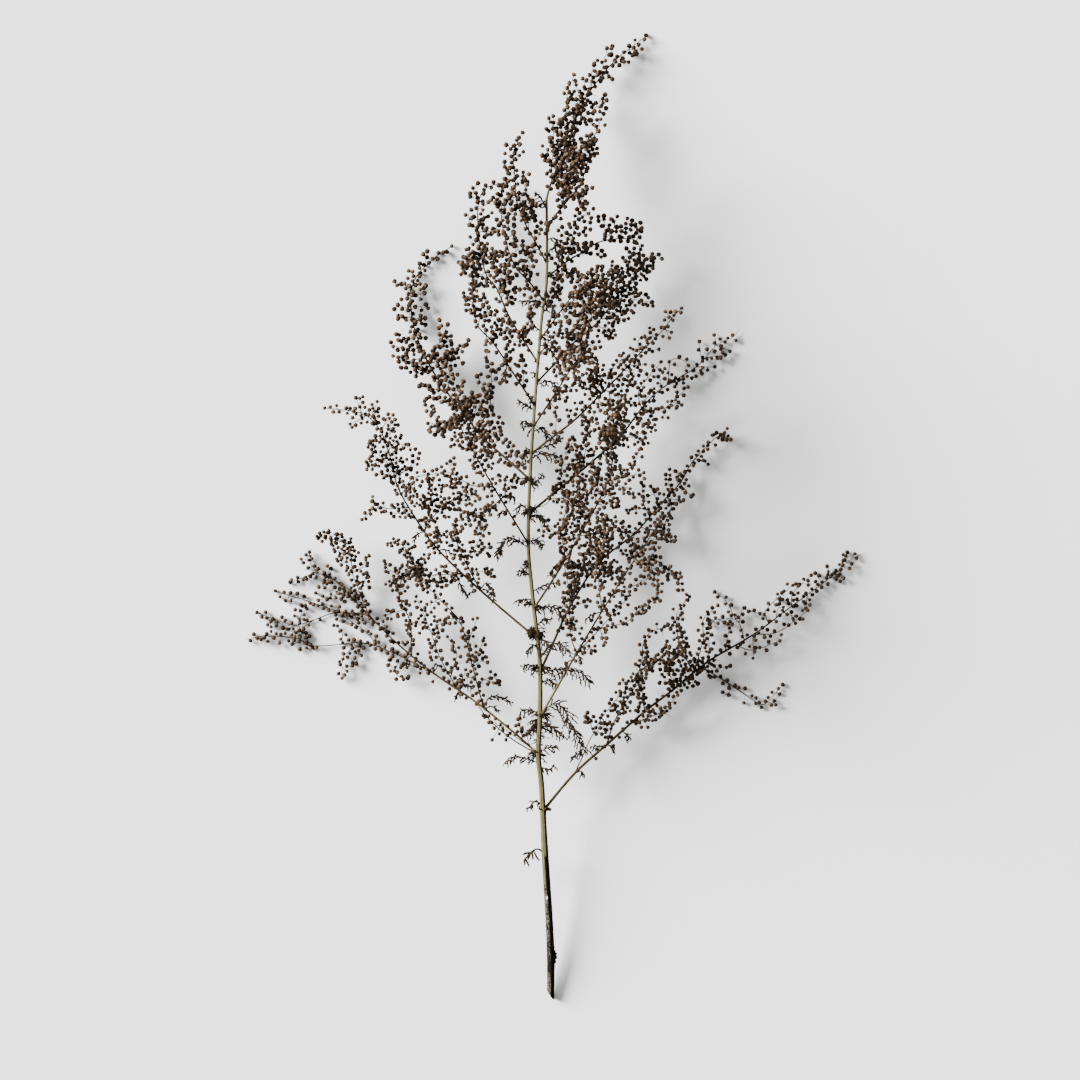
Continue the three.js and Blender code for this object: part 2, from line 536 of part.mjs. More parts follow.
// The nearest point to a place in the plane on any of these curves
function nearestOn(curves, place) {
  let best = null;
  curves.forEach((curve, which) => {
    for (let i = 1; i < curve.length; i += 1) {
      const [from, to] = [curve[i - 1], curve[i]];
      const run = new THREE.Vector2(to.x - from.x, to.y - from.y);
      const reach = new THREE.Vector2(place.x - from.x, place.y - from.y);
      const share = Math.min(Math.max(reach.dot(run) / run.lengthSq(), 0.02), 0.98);
      const point = from.clone().lerp(to, share);
      const gap = Math.hypot(point.x - place.x, point.y - place.y);
      if (best === null || gap < best.gap) {
        best = { gap, point, which };
      }
    }
  });
  return best;
}

// Points in the plane raised into a curve that climbs or falls by a slope from its start
function raised(start, flat, slope, rest) {
  const lengths = lengthsOf([new THREE.Vector2(start.x, start.y), ...flat.slice(1)]);
  const total = lengths[flat.length - 1];
  return [start, ...flat.slice(1).map((point, i) => {
    const length = lengths[i + 1];
    const height = start.z + slope * length * (1 - 0.3 * (length / total));
    return new THREE.Vector3(point.x, point.y, Math.max(height, rest));
  })];
}

// A sprig takes the first slope that keeps it clear of other nodes, near the one drawn for it
function sprigCurve(owner, start, flat, draw) {
  const preferred = draw() * 1.1 - 0.45;
  const rest = LOWEST_CENTRE + 0.5 * draw();
  for (const change of [0, 0.3, -0.3, 0.6, -0.6, 0.9, -0.9, 1.3, -1.3]) {
    const curve = raised(start, flat, preferred + change, rest);
    if (room(owner, beadsOn(curve, SPRIG_RADIUS)) > SPRIG_CLEARANCE) {
      return curve;
    }
  }
  return null;
}

// Twigs along a curve, each from the middle of the wood to the middle of its end head
function twigsOn(curve, from, until, draw) {
  const twigs = [];
  let turn = draw() * 6.28;
  let length = from;
  while (length < until) {
    const { point, direction } = along(curve, length);
    const across = new THREE.Vector3(0, 0, 1).addScaledVector(direction, -direction.z).normalize();
    const aside = across.clone().cross(direction).multiplyScalar(Math.cos(turn));
    const outward = aside.addScaledVector(across, 0.8 * Math.sin(turn));
    const reach = TWIG_LENGTH * (0.5 + draw());
    const end = point.clone().addScaledVector(direction, 0.62 * reach);
    end.addScaledVector(outward, 0.78 * reach);
    end.z = Math.max(end.z, LOWEST_CENTRE);
    twigs.push([point, end]);
    length += TWIG_SPACING * (0.8 + 0.4 * draw());
    turn += 2.4;
  }
  return twigs;
}

// Points and radii of a stalk that ends in a flower head centred on the last point
function withHead(points, radius) {
  const end = points[points.length - 1];
  const before = points[points.length - 2];
  const direction = end.clone().sub(before).normalize();
  const neck = end.clone().addScaledVector(direction, -HEAD_NECK);
  const tip = end.clone().addScaledVector(direction, HEAD_TIP);
  const line = [...points.slice(0, -1), neck, end, tip];
  const radii = [...points.slice(0, -1).map(() => radius), STALK_RADIUS, HEAD_RADIUS, 0];
  radii[0] = SUNK_ROOT_RADIUS;
  return { line, radii };
}

function headBeads(points) {
  return [...beadsOn(points, STALK_RADIUS), { point: points[points.length - 1], radius: HEAD_RADIUS }];
}

// All branches are placed first, then all sprigs, so that each keeps clear of the others
const stemLine = STEM.map(([x, y, z]) => new THREE.Vector3(x, y, z));
const stemRadii = STEM.map((ring) => ring[3]);
stemLine.slice(1).forEach((point, i) => {
  claim('main_stem', beadsOn([stemLine[i], point], stemRadii[i]));
});
const branches = SPRAYS.map((spray) => branchCurve(spray));
SPRAYS.forEach((spray, i) => {
  claim(spray.name, outsideStem(beadsOn(branches[i], BRANCH_ROOT_RADIUS)));
});

// Sprigs that are long, that carry another sprig, or that come second among the short ones
const sprigs = SPRAYS.map((spray, i) => {
  const curves = [branches[i]];
  const kept = [true];
  spray.sprigs.forEach((flat, k) => {
    const draw = drawsFrom(100 * i + k + 1);
    const points = pairs(flat);
    const { point, which } = nearestOn(curves, points[0]);
    const curve = sprigCurve(spray.name, point, points, draw);
    if (curve) {
      claim(spray.name, headBeads(curve));
      curves.push(curve);
      kept.push(lengthsOf(curve).pop() > LONG_SPRIG || k % 2 === 0);
      kept[which] = true;
    }
  });
  return curves.filter((curve, k) => k > 0 && kept[k]);
});

// The stem grown by the fitted gap, which every branch and leaf is cut back to
const stemWithGap = rod(stemLine, stemRadii.map((radius) => radius + FITTED_GAP), 12);

function stemGeometry() {
  const stem = rod(stemLine, stemRadii, 12, 0.12);
  const knobShape = new THREE.IcosahedronGeometry(1.7, 0);
  const beside = stemAt(27).point;
  knobShape.translate(beside.x + 1.6, beside.y, beside.z);
  return geometryOf(stem.add(solidOf(knobShape)));
}

// A leaf: a thin curled rib with narrow lobes left and right of it
function leafCurve(name, flat, draw) {
  const points = pairs(flat);
  const start = stemAt(points[0].y).point.clone();
  const preferred = draw() * 1.2 - 0.3;
  for (const change of [0, 0.4, -0.4, 0.8, -0.8, 1.2, -1.2, 1.7]) {
    const curve = raised(start, points, preferred + change, LOWEST_CENTRE);
    if (room(name, outsideStem(beadsOn(curve, LEAF_RIB_RADIUS))) > CLEARANCE) {
      return curve;
    }
  }
  return null;
}

function leafSolid(name, flat, seed) {
  const draw = drawsFrom(seed);
  const curve = leafCurve(name, flat, draw);
  if (!curve) {
    return null;
  }
  const ownBeads = outsideStem(beadsOn(curve, LEAF_RIB_RADIUS));
  const radii = curve.map(() => LEAF_RIB_RADIUS);
  radii[radii.length - 1] = 0;
  const solids = [rod(curve, radii, 4)];
  const total = lengthsOf(curve).pop();
  let side = 1;
  for (let length = 4; length < total - 0.8; length += LOBE_SPACING) {
    const { point, direction } = along(curve, length);
    const aside = new THREE.Vector3(-direction.y, direction.x, 0).normalize();
    const reach = 3.2 + 2.2 * draw();
    const lift = 2.4 * (draw() - 0.4);
    const end = point.clone().addScaledVector(direction, 0.5 * reach);
    end.addScaledVector(aside, 0.8 * reach * side);
    end.z = Math.max(end.z + lift, LOWEST_CENTRE);
    side = -side;
    const lobe = beadsOn([point, end], LOBE_RADIUS);
    if (room(name, lobe) > CLEARANCE) {
      ownBeads.push(...lobe);
      solids.push(rod([point, end], [LOBE_RADIUS, 0], 3));
    }
  }
  claim(name, ownBeads);
  return largestBody(joined(solids).subtract(stemWithGap));
}

// Heads on twigs between the sprigs' own end heads, wherever another node leaves room
function twigSolids(spray, curves) {
  const solids = [];
  curves.forEach((curve, k) => {
    const draw = drawsFrom(7000 + 100 * k + spray.path.length);
    const total = lengthsOf(curve).pop();
    const from = k === 0 ? spray.bareRoot + 2 : 2.5;
    const until = k === 0 ? total - spray.bareTip - 2 : total - 2.5;
    twigsOn(curve, from, until, draw).forEach((twig, place) => {
      if ((place + 4 * k) % TWIGS_PER_KEPT_HEAD !== 3) {
        return;
      }
      const own = headBeads(twig);
      if (room(spray.name, own) > CLEARANCE) {
        claim(spray.name, own);
        const { line, radii } = withHead(twig, STALK_RADIUS);
        solids.push(rod(line, radii, 3));
      }
    });
  });
  return solids;
}

function spraySolid(spray, i) {
  const branch = branches[i];
  const last = branch.length - 1;
  const thinning = branch.map((point, k) => (
    BRANCH_ROOT_RADIUS + (BRANCH_TIP_RADIUS - BRANCH_ROOT_RADIUS) * (k / last)
  ));
  const solids = [];
  if (spray.bareTip > 0) {
    thinning[last] = 0;
    solids.push(rod(branch, thinning, 4));
  } else {
    const { line, radii } = withHead(branch, STALK_RADIUS);
    solids.push(rod(line, [...thinning.slice(0, -1), ...radii.slice(last)], 4));
  }
  for (const curve of sprigs[i]) {
    const { line, radii } = withHead(curve, SPRIG_RADIUS);
    solids.push(rod(line, radii, 3));
  }
  solids.push(...twigSolids(spray, [branch, ...sprigs[i]]));
  return largestBody(joined(solids).subtract(stemWithGap));
}

function stemMaterial() {
  return new THREE.MeshStandardMaterial({ color: 0x9c8d64, roughness: 0.85, metalness: 0 });
}

function sprayMaterial() {
  return new THREE.MeshStandardMaterial({ color: 0x4a3524, roughness: 0.9, metalness: 0 });
}

function leafMaterial() {
  return new THREE.MeshStandardMaterial({ color: 0x2c231a, roughness: 0.9, metalness: 0 });
}

function piece(name, geometry, material) {
  const mesh = new THREE.Mesh(geometry, material);
  mesh.name = name;
  return mesh;
}

const plant = new THREE.Group();
plant.add(piece('main_stem', stemGeometry(), stemMaterial()));
LEAVES.forEach(([name, flat], k) => {
  const solid = leafSolid(name, flat, 500 + 3 * k);
  if (solid) {
    plant.add(piece(name, geometryOf(solid), leafMaterial()));
  }
});
SPRAYS.forEach((spray, i) => {
  plant.add(piece(spray.name, geometryOf(spraySolid(spray, i)), sprayMaterial()));
});

// The origin is the middle of the underside of the whole plant
const box = new THREE.Box3().setFromObject(plant);
plant.position.set(-(box.min.x + box.max.x) / 2, -(box.min.y + box.max.y) / 2, -box.min.z);
plant.updateMatrixWorld(true);

export default plant;
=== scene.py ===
import math
from collections import namedtuple

import bpy
import numpy as np
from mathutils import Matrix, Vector


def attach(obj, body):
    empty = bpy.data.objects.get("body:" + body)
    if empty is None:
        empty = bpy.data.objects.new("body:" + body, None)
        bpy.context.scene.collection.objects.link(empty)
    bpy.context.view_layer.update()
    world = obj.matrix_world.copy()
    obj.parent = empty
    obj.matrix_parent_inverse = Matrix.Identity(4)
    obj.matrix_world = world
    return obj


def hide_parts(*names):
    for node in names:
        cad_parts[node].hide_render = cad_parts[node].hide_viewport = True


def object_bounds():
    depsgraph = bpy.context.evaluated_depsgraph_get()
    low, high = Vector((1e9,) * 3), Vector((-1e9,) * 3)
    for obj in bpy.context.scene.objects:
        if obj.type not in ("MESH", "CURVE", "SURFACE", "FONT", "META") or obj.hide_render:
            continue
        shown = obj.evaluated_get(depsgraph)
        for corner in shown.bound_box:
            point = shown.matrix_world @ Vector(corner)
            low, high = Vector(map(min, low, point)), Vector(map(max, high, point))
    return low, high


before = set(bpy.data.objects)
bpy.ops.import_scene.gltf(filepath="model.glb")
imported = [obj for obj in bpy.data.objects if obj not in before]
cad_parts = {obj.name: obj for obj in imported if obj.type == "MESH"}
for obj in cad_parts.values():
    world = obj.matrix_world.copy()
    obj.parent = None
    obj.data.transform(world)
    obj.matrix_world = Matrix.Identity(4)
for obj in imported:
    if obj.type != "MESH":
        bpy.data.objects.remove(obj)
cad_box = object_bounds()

# A dried flowering branch of sweet wormwood, lying on a pale floor and seen from straight above.
# The tracing below is in millimetres, from the cut end of the stem; ORIGIN moves it to the frame.
MM = 0.001
ORIGIN = np.array([9.914, 290.376, 0.079])

# Beads that place the wood as in the frame's own solids: how far apart, and their radii
BEAD_SPACING = 0.8
BRANCH_BEAD = 0.85
SPRIG_BEAD = 0.48
STALK_BEAD = 0.42
HEAD_BEAD = 1.45
LEAF_BEAD = 0.6

# How far pieces keep from the stem, and leaves and sprigs from one another
FITTED_GAP = 0.3
LEAF_ROOM = 0.4
SPRIG_ROOM = 0.9

# The lowest height of a curve's middle, and how much higher a sprig may rest by its draw
LOWEST_CENTRE = 1.5
REST_RANGE = 0.5

# The lowest slope that a sprig or a leaf may prefer, how far above it the draw goes, and the
# changes of slope that it tries when there is no room
SPRIG_LOWEST = -0.45
SPRIG_SLOPES = 1.1
LEAF_LOWEST = -0.3
LEAF_SLOPES = 1.2
SPRIG_CHANGES = np.array([0, 0.3, -0.3, 0.6, -0.6, 0.9, -0.9, 1.3, -1.3])
LEAF_CHANGES = np.array([0, 0.4, -0.4, 0.8, -0.8, 1.2, -1.2, 1.7])

# How fast a branch levels out, and how much a sprig or a leaf does
LEVELLING = 1.8
FLATTENING = 0.3

# Radii of the fine wood
BRANCH_TIP = 0.26
BARE_TIP = 0.12
SPRIG_ROOT = 0.33
SPRIG_TIP = 0.17
STALK = 0.125

# Where the seeds and the owners' numbers of the sprays and the leaves begin
DRAWS_PER_SPRAY = 100
LEAF_DRAWS = 500
LEAF_DRAWS_STEP = 3
STEM_OWNER = -1
LEAF_OWNER = 100
STEM_SEED = 11
SPRAY_SEED = 200
LEAF_SEED = 900

TINY = 1e-9
UP = np.array([0.0, 0.0, 1.0])

# A full turn and the turn from one head to the next, in radians
FULL_TURN = 6.28
NEXT_TURN = 2.4

# The stem from its cut end up: x, y and height of its middle, and its radius
STEM_RINGS = np.array([
    [7, 0, 2.2, 2.2], [6, 39, 9, 1.95], [3, 89, 18, 1.8], [1, 128, 25, 1.6], [-1, 147, 28, 1.5],
    [0, 170, 32, 1.4], [0, 201, 36, 1.3], [-2, 221, 39, 1.2], [-5, 248, 42, 1.1],
    [-7, 275, 44.5, 1], [-6, 312, 47, 0.95], [-3, 359, 49.5, 0.85], [1, 408, 50, 0.8],
    [4, 432, 49.5, 0.75], [4, 481, 47, 0.7],
], float)
STEM_TOP = STEM_RINGS[-1, 1]

# Each spray: the height of its tip, the length at each end with no flower heads, its branch
# as x, y pairs from the stem out, and its sprigs as x, y pairs, each from the wood it grows on
Spray = namedtuple("Spray", "name tip_height bare_root bare_tip path sprigs")
SPRAYS = [
  Spray("leader_spray", 3, 8, 0, [
    4, 482, 7, 491, 12, 498, 16, 510, 23, 533, 31, 547, 43, 562, 51, 569, 60, 576, 65, 580
  ], [
    [7, 492, 7, 501, 8, 511, 8, 529], [9, 493, 10, 507, 13, 517, 12, 527], [7, 501, 5, 509],
    [14, 496, 16, 513, 16, 541, 20, 554], [21, 527, 24, 538, 22, 548], [17, 528, 21, 539],
    [19, 516, 24, 528, 31, 533, 38, 542], [24, 527, 33, 528], [29, 545, 26, 552],
    [31, 547, 31, 556, 34, 563], [35, 553, 38, 562, 40, 570], [36, 551, 42, 553],
    [44, 560, 52, 563], [53, 569, 60, 571], [10, 492, 17, 498, 19, 507, 18, 513],
    [12, 491, 21, 493, 25, 501, 30, 511], [7, 491, 13, 490, 19, 485, 26, 480],
  ]),
  Spray("right_spray_1", 2, 56, 9, [
    3, 113, 21, 136, 40, 153, 63, 173, 80, 186, 101, 203, 128, 219, 151, 236, 174, 253, 188, 265,
    197, 268
  ], [
    [22, 136, 26, 147, 37, 169, 51, 186], [32, 160, 29, 171], [31, 158, 41, 166],
    [41, 154, 46, 170, 56, 186, 61, 204, 62, 213, 67, 221, 82, 225],
    [63, 173, 61, 190, 64, 198, 64, 207], [61, 194, 49, 190], [52, 163, 73, 173, 82, 182],
    [61, 197, 74, 206, 84, 211], [94, 197, 84, 213, 82, 231, 89, 241],
    [94, 197, 98, 216, 98, 228, 106, 236], [84, 188, 77, 196, 80, 201],
    [96, 197, 110, 192, 131, 178, 137, 179, 145, 188], [113, 190, 114, 185, 110, 182],
    [101, 204, 102, 224], [121, 217, 118, 228, 103, 228], [117, 229, 112, 239, 106, 244],
    [120, 225, 122, 234, 131, 232], [109, 209, 114, 226], [101, 202, 106, 199, 113, 200],
    [115, 211, 128, 210, 143, 215], [129, 219, 141, 220, 150, 225, 160, 233], [128, 218, 128, 206],
    [136, 224, 136, 234, 151, 248], [143, 230, 144, 240], [151, 236, 152, 244, 162, 254],
    [147, 231, 155, 229], [161, 243, 160, 236], [168, 248, 166, 255], [174, 253, 173, 261],
    [181, 260, 182, 266], [174, 253, 183, 254],
  ]),
  Spray("right_spray_2", 75, 44, 0, [
    1, 172, 10, 187, 22, 208, 37, 233, 52, 257, 60, 269, 70, 284, 73, 291
  ], [
    [21, 207, 18, 220, 18, 241, 14, 263], [24, 206, 36, 223, 53, 242], [24, 206, 32, 212],
    [34, 223, 37, 219, 38, 214], [38, 235, 35, 255, 37, 264, 36, 273], [36, 223, 52, 227, 59, 235],
    [60, 263, 66, 258, 71, 244, 59, 233], [45, 244, 57, 249, 65, 253], [38, 234, 46, 232],
    [52, 257, 40, 256], [58, 264, 71, 263, 82, 251], [65, 278, 71, 281, 79, 276],
    [62, 273, 68, 274], [65, 254, 67, 260],
  ]),
  Spray("right_spray_3", 6, 32, 0, [
    1, 199, 7, 212, 18, 236, 35, 262, 57, 280, 71, 296, 84, 310, 91, 322, 104, 336, 110, 340
  ], [
    [14, 227, 13, 234, 17, 247], [18, 236, 29, 239], [15, 229, 19, 224, 24, 223],
    [19, 240, 21, 252, 26, 258], [25, 247, 18, 259, 16, 269], [29, 254, 31, 271, 30, 281],
    [35, 262, 41, 260, 48, 254], [35, 262, 34, 282], [44, 270, 37, 281, 39, 287],
    [50, 275, 52, 282, 46, 289], [57, 280, 43, 282], [57, 280, 55, 273, 56, 267],
    [67, 290, 62, 299, 61, 309], [63, 294, 55, 294], [71, 296, 67, 307],
    [62, 284, 69, 282, 72, 289], [66, 281, 76, 282], [69, 279, 80, 276],
    [76, 301, 79, 296, 75, 286], [77, 301, 85, 300], [84, 310, 90, 303], [80, 305, 76, 314],
    [86, 315, 79, 318], [92, 325, 100, 322],
  ]),
  Spray("right_spray_4", 95, 30, 0, [
    -2, 238, 7, 251, 21, 274, 34, 297, 41, 314, 44, 327, 43, 337, 46, 357
  ], [
    [14, 263, 13, 285, 23, 306], [16, 291, 23, 290], [14, 263, 21, 261, 27, 264],
    [21, 273, 16, 281, 20, 284], [25, 281, 24, 301, 23, 319], [25, 281, 30, 278, 31, 272],
    [29, 289, 24, 298], [34, 297, 31, 312], [37, 303, 34, 309, 32, 321], [35, 294, 46, 299],
    [37, 288, 41, 284], [35, 297, 43, 306], [40, 310, 53, 307], [41, 312, 61, 316],
    [47, 314, 56, 322, 59, 329], [44, 327, 36, 332, 40, 338],
  ]),
  Spray("right_spray_5", 2, 20, 6, [
    -5, 295, 12, 307, 30, 322, 48, 338, 61, 355, 73, 367, 94, 380, 106, 393, 116, 398, 120, 403
  ], [
    [13, 307, 14, 323, 20, 335], [19, 313, 23, 325, 22, 333], [23, 317, 28, 333, 26, 349],
    [30, 322, 33, 318, 32, 311], [39, 325, 48, 317], [43, 333, 36, 342], [45, 335, 61, 340],
    [53, 345, 48, 348], [48, 338, 40, 341], [58, 349, 66, 344],
    [61, 355, 59, 365, 66, 375, 72, 382], [60, 360, 64, 361, 68, 366], [61, 353, 71, 354, 82, 358],
    [75, 355, 88, 367], [73, 367, 72, 375, 76, 376], [78, 372, 79, 384, 88, 383, 87, 379],
    [75, 369, 90, 373], [89, 377, 96, 376], [94, 380, 104, 380], [97, 385, 96, 394],
    [99, 388, 110, 387], [106, 393, 113, 390], [106, 393, 105, 398],
  ]),
  Spray("right_spray_6", 80, 18, 0, [
    -4, 330, 8, 338, 22, 349, 43, 370, 60, 388, 73, 401, 79, 409, 84, 414
  ], [
    [23, 350, 17, 353], [25, 351, 30, 342], [29, 355, 22, 358], [30, 356, 34, 347],
    [34, 360, 28, 363], [34, 361, 32, 375, 34, 380], [36, 362, 35, 371, 37, 377],
    [39, 365, 52, 359], [41, 362, 44, 347, 43, 339], [46, 360, 46, 347], [36, 359, 39, 353],
    [43, 370, 44, 380, 57, 389], [43, 367, 51, 366], [47, 374, 56, 371], [50, 376, 58, 375],
    [55, 383, 59, 378], [60, 388, 59, 396, 65, 397], [60, 386, 70, 390], [56, 381, 62, 381],
    [69, 397, 66, 402], [74, 403, 77, 398], [79, 409, 76, 412],
  ]),
  Spray("right_spray_7", 105, 14, 0, [-3, 346, 6, 359, 17, 376, 24, 387, 29, 402, 31, 411], [
    [7, 360, 10, 352, 9, 342], [9, 363, 17, 367, 28, 372], [12, 369, 16, 391], [21, 382, 23, 373],
    [21, 382, 28, 382], [25, 389, 31, 383], [17, 377, 18, 384], [26, 393, 23, 404],
    [29, 401, 27, 409, 29, 416], [30, 408, 37, 419], [6, 361, 15, 361],
  ]),
  Spray("right_spray_8", 12, 14, 4, [
    -2, 373, 9, 382, 21, 395, 34, 406, 47, 422, 59, 434, 63, 439, 70, 447
  ], [
    [11, 383, 10, 393], [17, 390, 19, 400], [21, 394, 22, 404], [23, 395, 35, 392],
    [20, 393, 27, 386], [29, 402, 25, 407, 29, 413], [34, 406, 43, 398], [36, 407, 52, 409],
    [40, 413, 47, 413, 54, 418], [38, 411, 29, 429], [41, 415, 36, 427], [44, 419, 40, 430],
    [47, 422, 49, 418, 56, 417], [49, 424, 55, 421, 66, 419], [53, 427, 64, 422],
    [47, 422, 49, 438], [48, 433, 44, 442], [56, 432, 54, 442], [60, 436, 60, 442, 57, 447],
  ]),
  Spray("right_spray_9_low", 62, 5, 0, [-1, 388, 4, 393, 7, 397, 11, 401], [
    [7, 396, 8, 391, 13, 389],
  ]),
  Spray("right_spray_9", 88, 11, 0, [1, 398, 8, 407, 16, 418, 24, 426, 32, 430, 38, 428], [
    [13, 413, 21, 417], [15, 417, 19, 412], [16, 419, 23, 420], [13, 413, 16, 408],
    [24, 426, 29, 435, 36, 439], [28, 429, 38, 433, 45, 431], [28, 428, 40, 418],
    [30, 426, 31, 420, 29, 414],
  ]),
  Spray("right_spray_10", 18, 9, 0, [
    4, 433, 16, 443, 26, 449, 36, 455, 51, 457, 59, 454, 61, 440
  ], [
    [16, 443, 19, 456, 24, 476], [19, 455, 14, 458], [23, 467, 31, 474], [22, 461, 29, 462],
    [18, 450, 13, 452], [19, 452, 26, 451], [12, 440, 11, 447], [13, 440, 19, 437],
    [34, 453, 38, 448], [38, 455, 42, 462, 36, 469], [43, 457, 46, 469],
    [47, 457, 50, 461, 59, 466], [51, 460, 52, 468], [58, 456, 61, 465], [60, 450, 51, 446],
    [61, 445, 56, 439], [61, 443, 70, 447], [6, 434, 12, 432], [9, 433, 8, 423],
  ]),
  Spray("right_spray_11", 62, 6, 0, [
    4, 460, 8, 469, 17, 480, 24, 489, 29, 504, 32, 516, 36, 527
  ], [
    [13, 476, 16, 492, 14, 503], [12, 477, 11, 490], [18, 480, 18, 489, 20, 507],
    [22, 484, 27, 479], [23, 486, 30, 487], [26, 497, 22, 510], [29, 504, 25, 510, 29, 517],
  ]),
  Spray("left_spray_1", 3, 48, 0, [
    -1, 147, -14, 159, -39, 179, -64, 196, -86, 214, -107, 235, -121, 250, -134, 257, -140, 266
  ], [
    [-6, 152, -24, 164, -33, 170], [-24, 164, -28, 157], [-10, 156, -13, 167],
    [-34, 175, -39, 194, -47, 225, -58, 238, -72, 253], [-39, 194, -46, 192, -48, 186],
    [-40, 191, -29, 194, -25, 190], [-39, 202, -33, 205], [-40, 201, -34, 216],
    [-46, 216, -38, 228], [-47, 225, -53, 229, -61, 225], [-49, 185, -60, 205, -66, 222, -74, 241],
    [-54, 194, -50, 208, -55, 217], [-50, 188, -45, 197], [-64, 215, -61, 222, -63, 229],
    [-66, 221, -77, 227], [-60, 240, -68, 236], [-64, 215, -65, 205],
    [-77, 209, -78, 227, -85, 245, -78, 266, -87, 276], [-80, 233, -92, 231], [-84, 252, -92, 259],
    [-83, 255, -89, 249], [-81, 255, -72, 264],
    [-66, 197, -88, 208, -107, 214, -137, 212, -146, 217, -167, 218, -176, 216],
    [-104, 232, -123, 232, -145, 225, -156, 227, -169, 232], [-120, 232, -139, 239, -158, 245],
    [-136, 227, -146, 221], [-137, 212, -144, 221], [-98, 214, -104, 220, -118, 230],
    [-107, 214, -118, 206, -119, 194], [-107, 213, -110, 203], [-119, 213, -119, 221, -123, 224],
    [-88, 208, -91, 204, -85, 194, -80, 194], [-103, 230, -113, 256],
    [-113, 255, -114, 267, -119, 275, -126, 281], [-119, 275, -133, 278], [-114, 267, -122, 269],
    [-113, 256, -105, 260], [-110, 250, -104, 251], [-126, 253, -127, 261], [-134, 257, -149, 251],
    [-126, 252, -134, 245], [-117, 244, -132, 240], [-94, 217, -94, 226], [-144, 226, -143, 235],
  ]),
  Spray("left_spray_2", 40, 56, 0, [
    -2, 220, -8, 222, -36, 246, -61, 270, -74, 288, -85, 307, -90, 326, -96, 342, -107, 352, -128,
    355
  ], [
    [-49, 257, -65, 255, -76, 258], [-36, 248, -49, 272, -51, 284, -46, 289, -28, 295],
    [-42, 262, -36, 277, -34, 287], [-42, 264, -50, 267], [-39, 258, -32, 257],
    [-38, 268, -31, 271], [-52, 278, -60, 281], [-60, 270, -62, 282],
    [-69, 281, -65, 300, -64, 312], [-68, 282, -58, 297, -40, 303], [-58, 296, -50, 298],
    [-76, 290, -88, 292], [-79, 294, -89, 295, -99, 295, -106, 289], [-98, 295, -100, 301],
    [-82, 302, -76, 313, -60, 316], [-76, 313, -74, 299], [-89, 318, -102, 333],
    [-94, 323, -103, 323], [-89, 318, -93, 314], [-88, 313, -80, 318, -73, 327],
    [-89, 322, -81, 324], [-90, 326, -84, 333, -76, 331], [-91, 331, -84, 338],
    [-94, 337, -86, 344], [-95, 341, -89, 350], [-94, 338, -101, 336], [-97, 344, -100, 354],
    [-102, 350, -98, 358], [-104, 350, -113, 346], [-108, 353, -110, 360],
  ]),
  Spray("left_spray_3", 2, 15, 0, [
    -6, 313, -17, 322, -35, 338, -44, 350, -56, 365, -69, 386, -77, 410, -76, 431, -64, 445, -54,
    452
  ], [
    [-17, 322, -14, 327, -20, 335], [-15, 322, -8, 323], [-24, 327, -19, 322],
    [-29, 334, -24, 338], [-37, 342, -27, 340, -23, 345], [-36, 343, -30, 358, -29, 373, -32, 388],
    [-34, 349, -28, 341], [-30, 362, -37, 373], [-29, 375, -24, 380],
    [-39, 345, -38, 360, -44, 361], [-41, 347, -41, 363], [-35, 338, -31, 331, -31, 322],
    [-38, 342, -42, 332], [-44, 350, -56, 347, -66, 346], [-54, 347, -62, 340],
    [-48, 355, -59, 361], [-49, 359, -43, 358], [-60, 347, -68, 356], [-56, 365, -68, 360],
    [-57, 367, -71, 368], [-53, 363, -47, 370], [-55, 366, -54, 375, -57, 384],
    [-66, 378, -76, 382, -87, 386], [-65, 380, -50, 389, -44, 395], [-66, 383, -60, 395, -56, 404],
    [-61, 392, -55, 395], [-70, 386, -79, 383], [-71, 390, -87, 392], [-73, 393, -84, 396],
    [-76, 402, -82, 396], [-76, 408, -84, 409], [-77, 411, -70, 406], [-75, 401, -70, 398],
    [-77, 416, -84, 417], [-77, 415, -70, 417], [-76, 422, -82, 421], [-76, 423, -71, 424],
    [-76, 428, -86, 431], [-76, 431, -71, 428], [-75, 433, -78, 437], [-69, 441, -68, 448],
  ]),
  Spray("left_spray_4", 88, 22, 0, [
    -6, 276, -17, 290, -28, 308, -41, 331, -48, 345, -47, 353, -49, 360
  ], [
    [-28, 308, -42, 309, -53, 318, -52, 324], [-50, 313, -56, 317], [-49, 312, -58, 307],
    [-23, 299, -35, 290, -34, 280], [-22, 301, -16, 310, -10, 311], [-28, 309, -31, 303],
    [-30, 312, -25, 314], [-32, 315, -26, 322], [-36, 322, -31, 332], [-40, 328, -40, 322],
    [-40, 328, -35, 332, -35, 338], [-46, 338, -49, 337, -47, 332], [-46, 340, -37, 341],
    [-48, 345, -58, 343], [-47, 351, -42, 349],
  ]),
  Spray("left_spray_5", 92, 13, 0, [
    -3, 358, -14, 373, -28, 394, -37, 404, -40, 417, -40, 435, -40, 447
  ], [
    [-10, 368, -11, 385], [-19, 379, -19, 395, -17, 403], [-18, 395, -13, 395],
    [-23, 386, -16, 382], [-28, 394, -24, 401], [-30, 397, -23, 406],
    [-33, 399, -33, 408, -31, 414], [-32, 407, -28, 410], [-37, 405, -34, 422],
    [-34, 415, -27, 413], [-39, 410, -44, 416], [-40, 417, -45, 423], [-40, 420, -35, 421],
    [-40, 426, -35, 432], [-40, 429, -38, 440, -37, 449], [-40, 439, -44, 440],
    [-19, 378, -23, 371], [-32, 397, -31, 390],
  ]),
  Spray("left_spray_6", 10, 12, 0, [
    -1, 385, -10, 396, -19, 411, -26, 427, -33, 437, -37, 461, -37, 477, -33, 487, -21, 491
  ], [
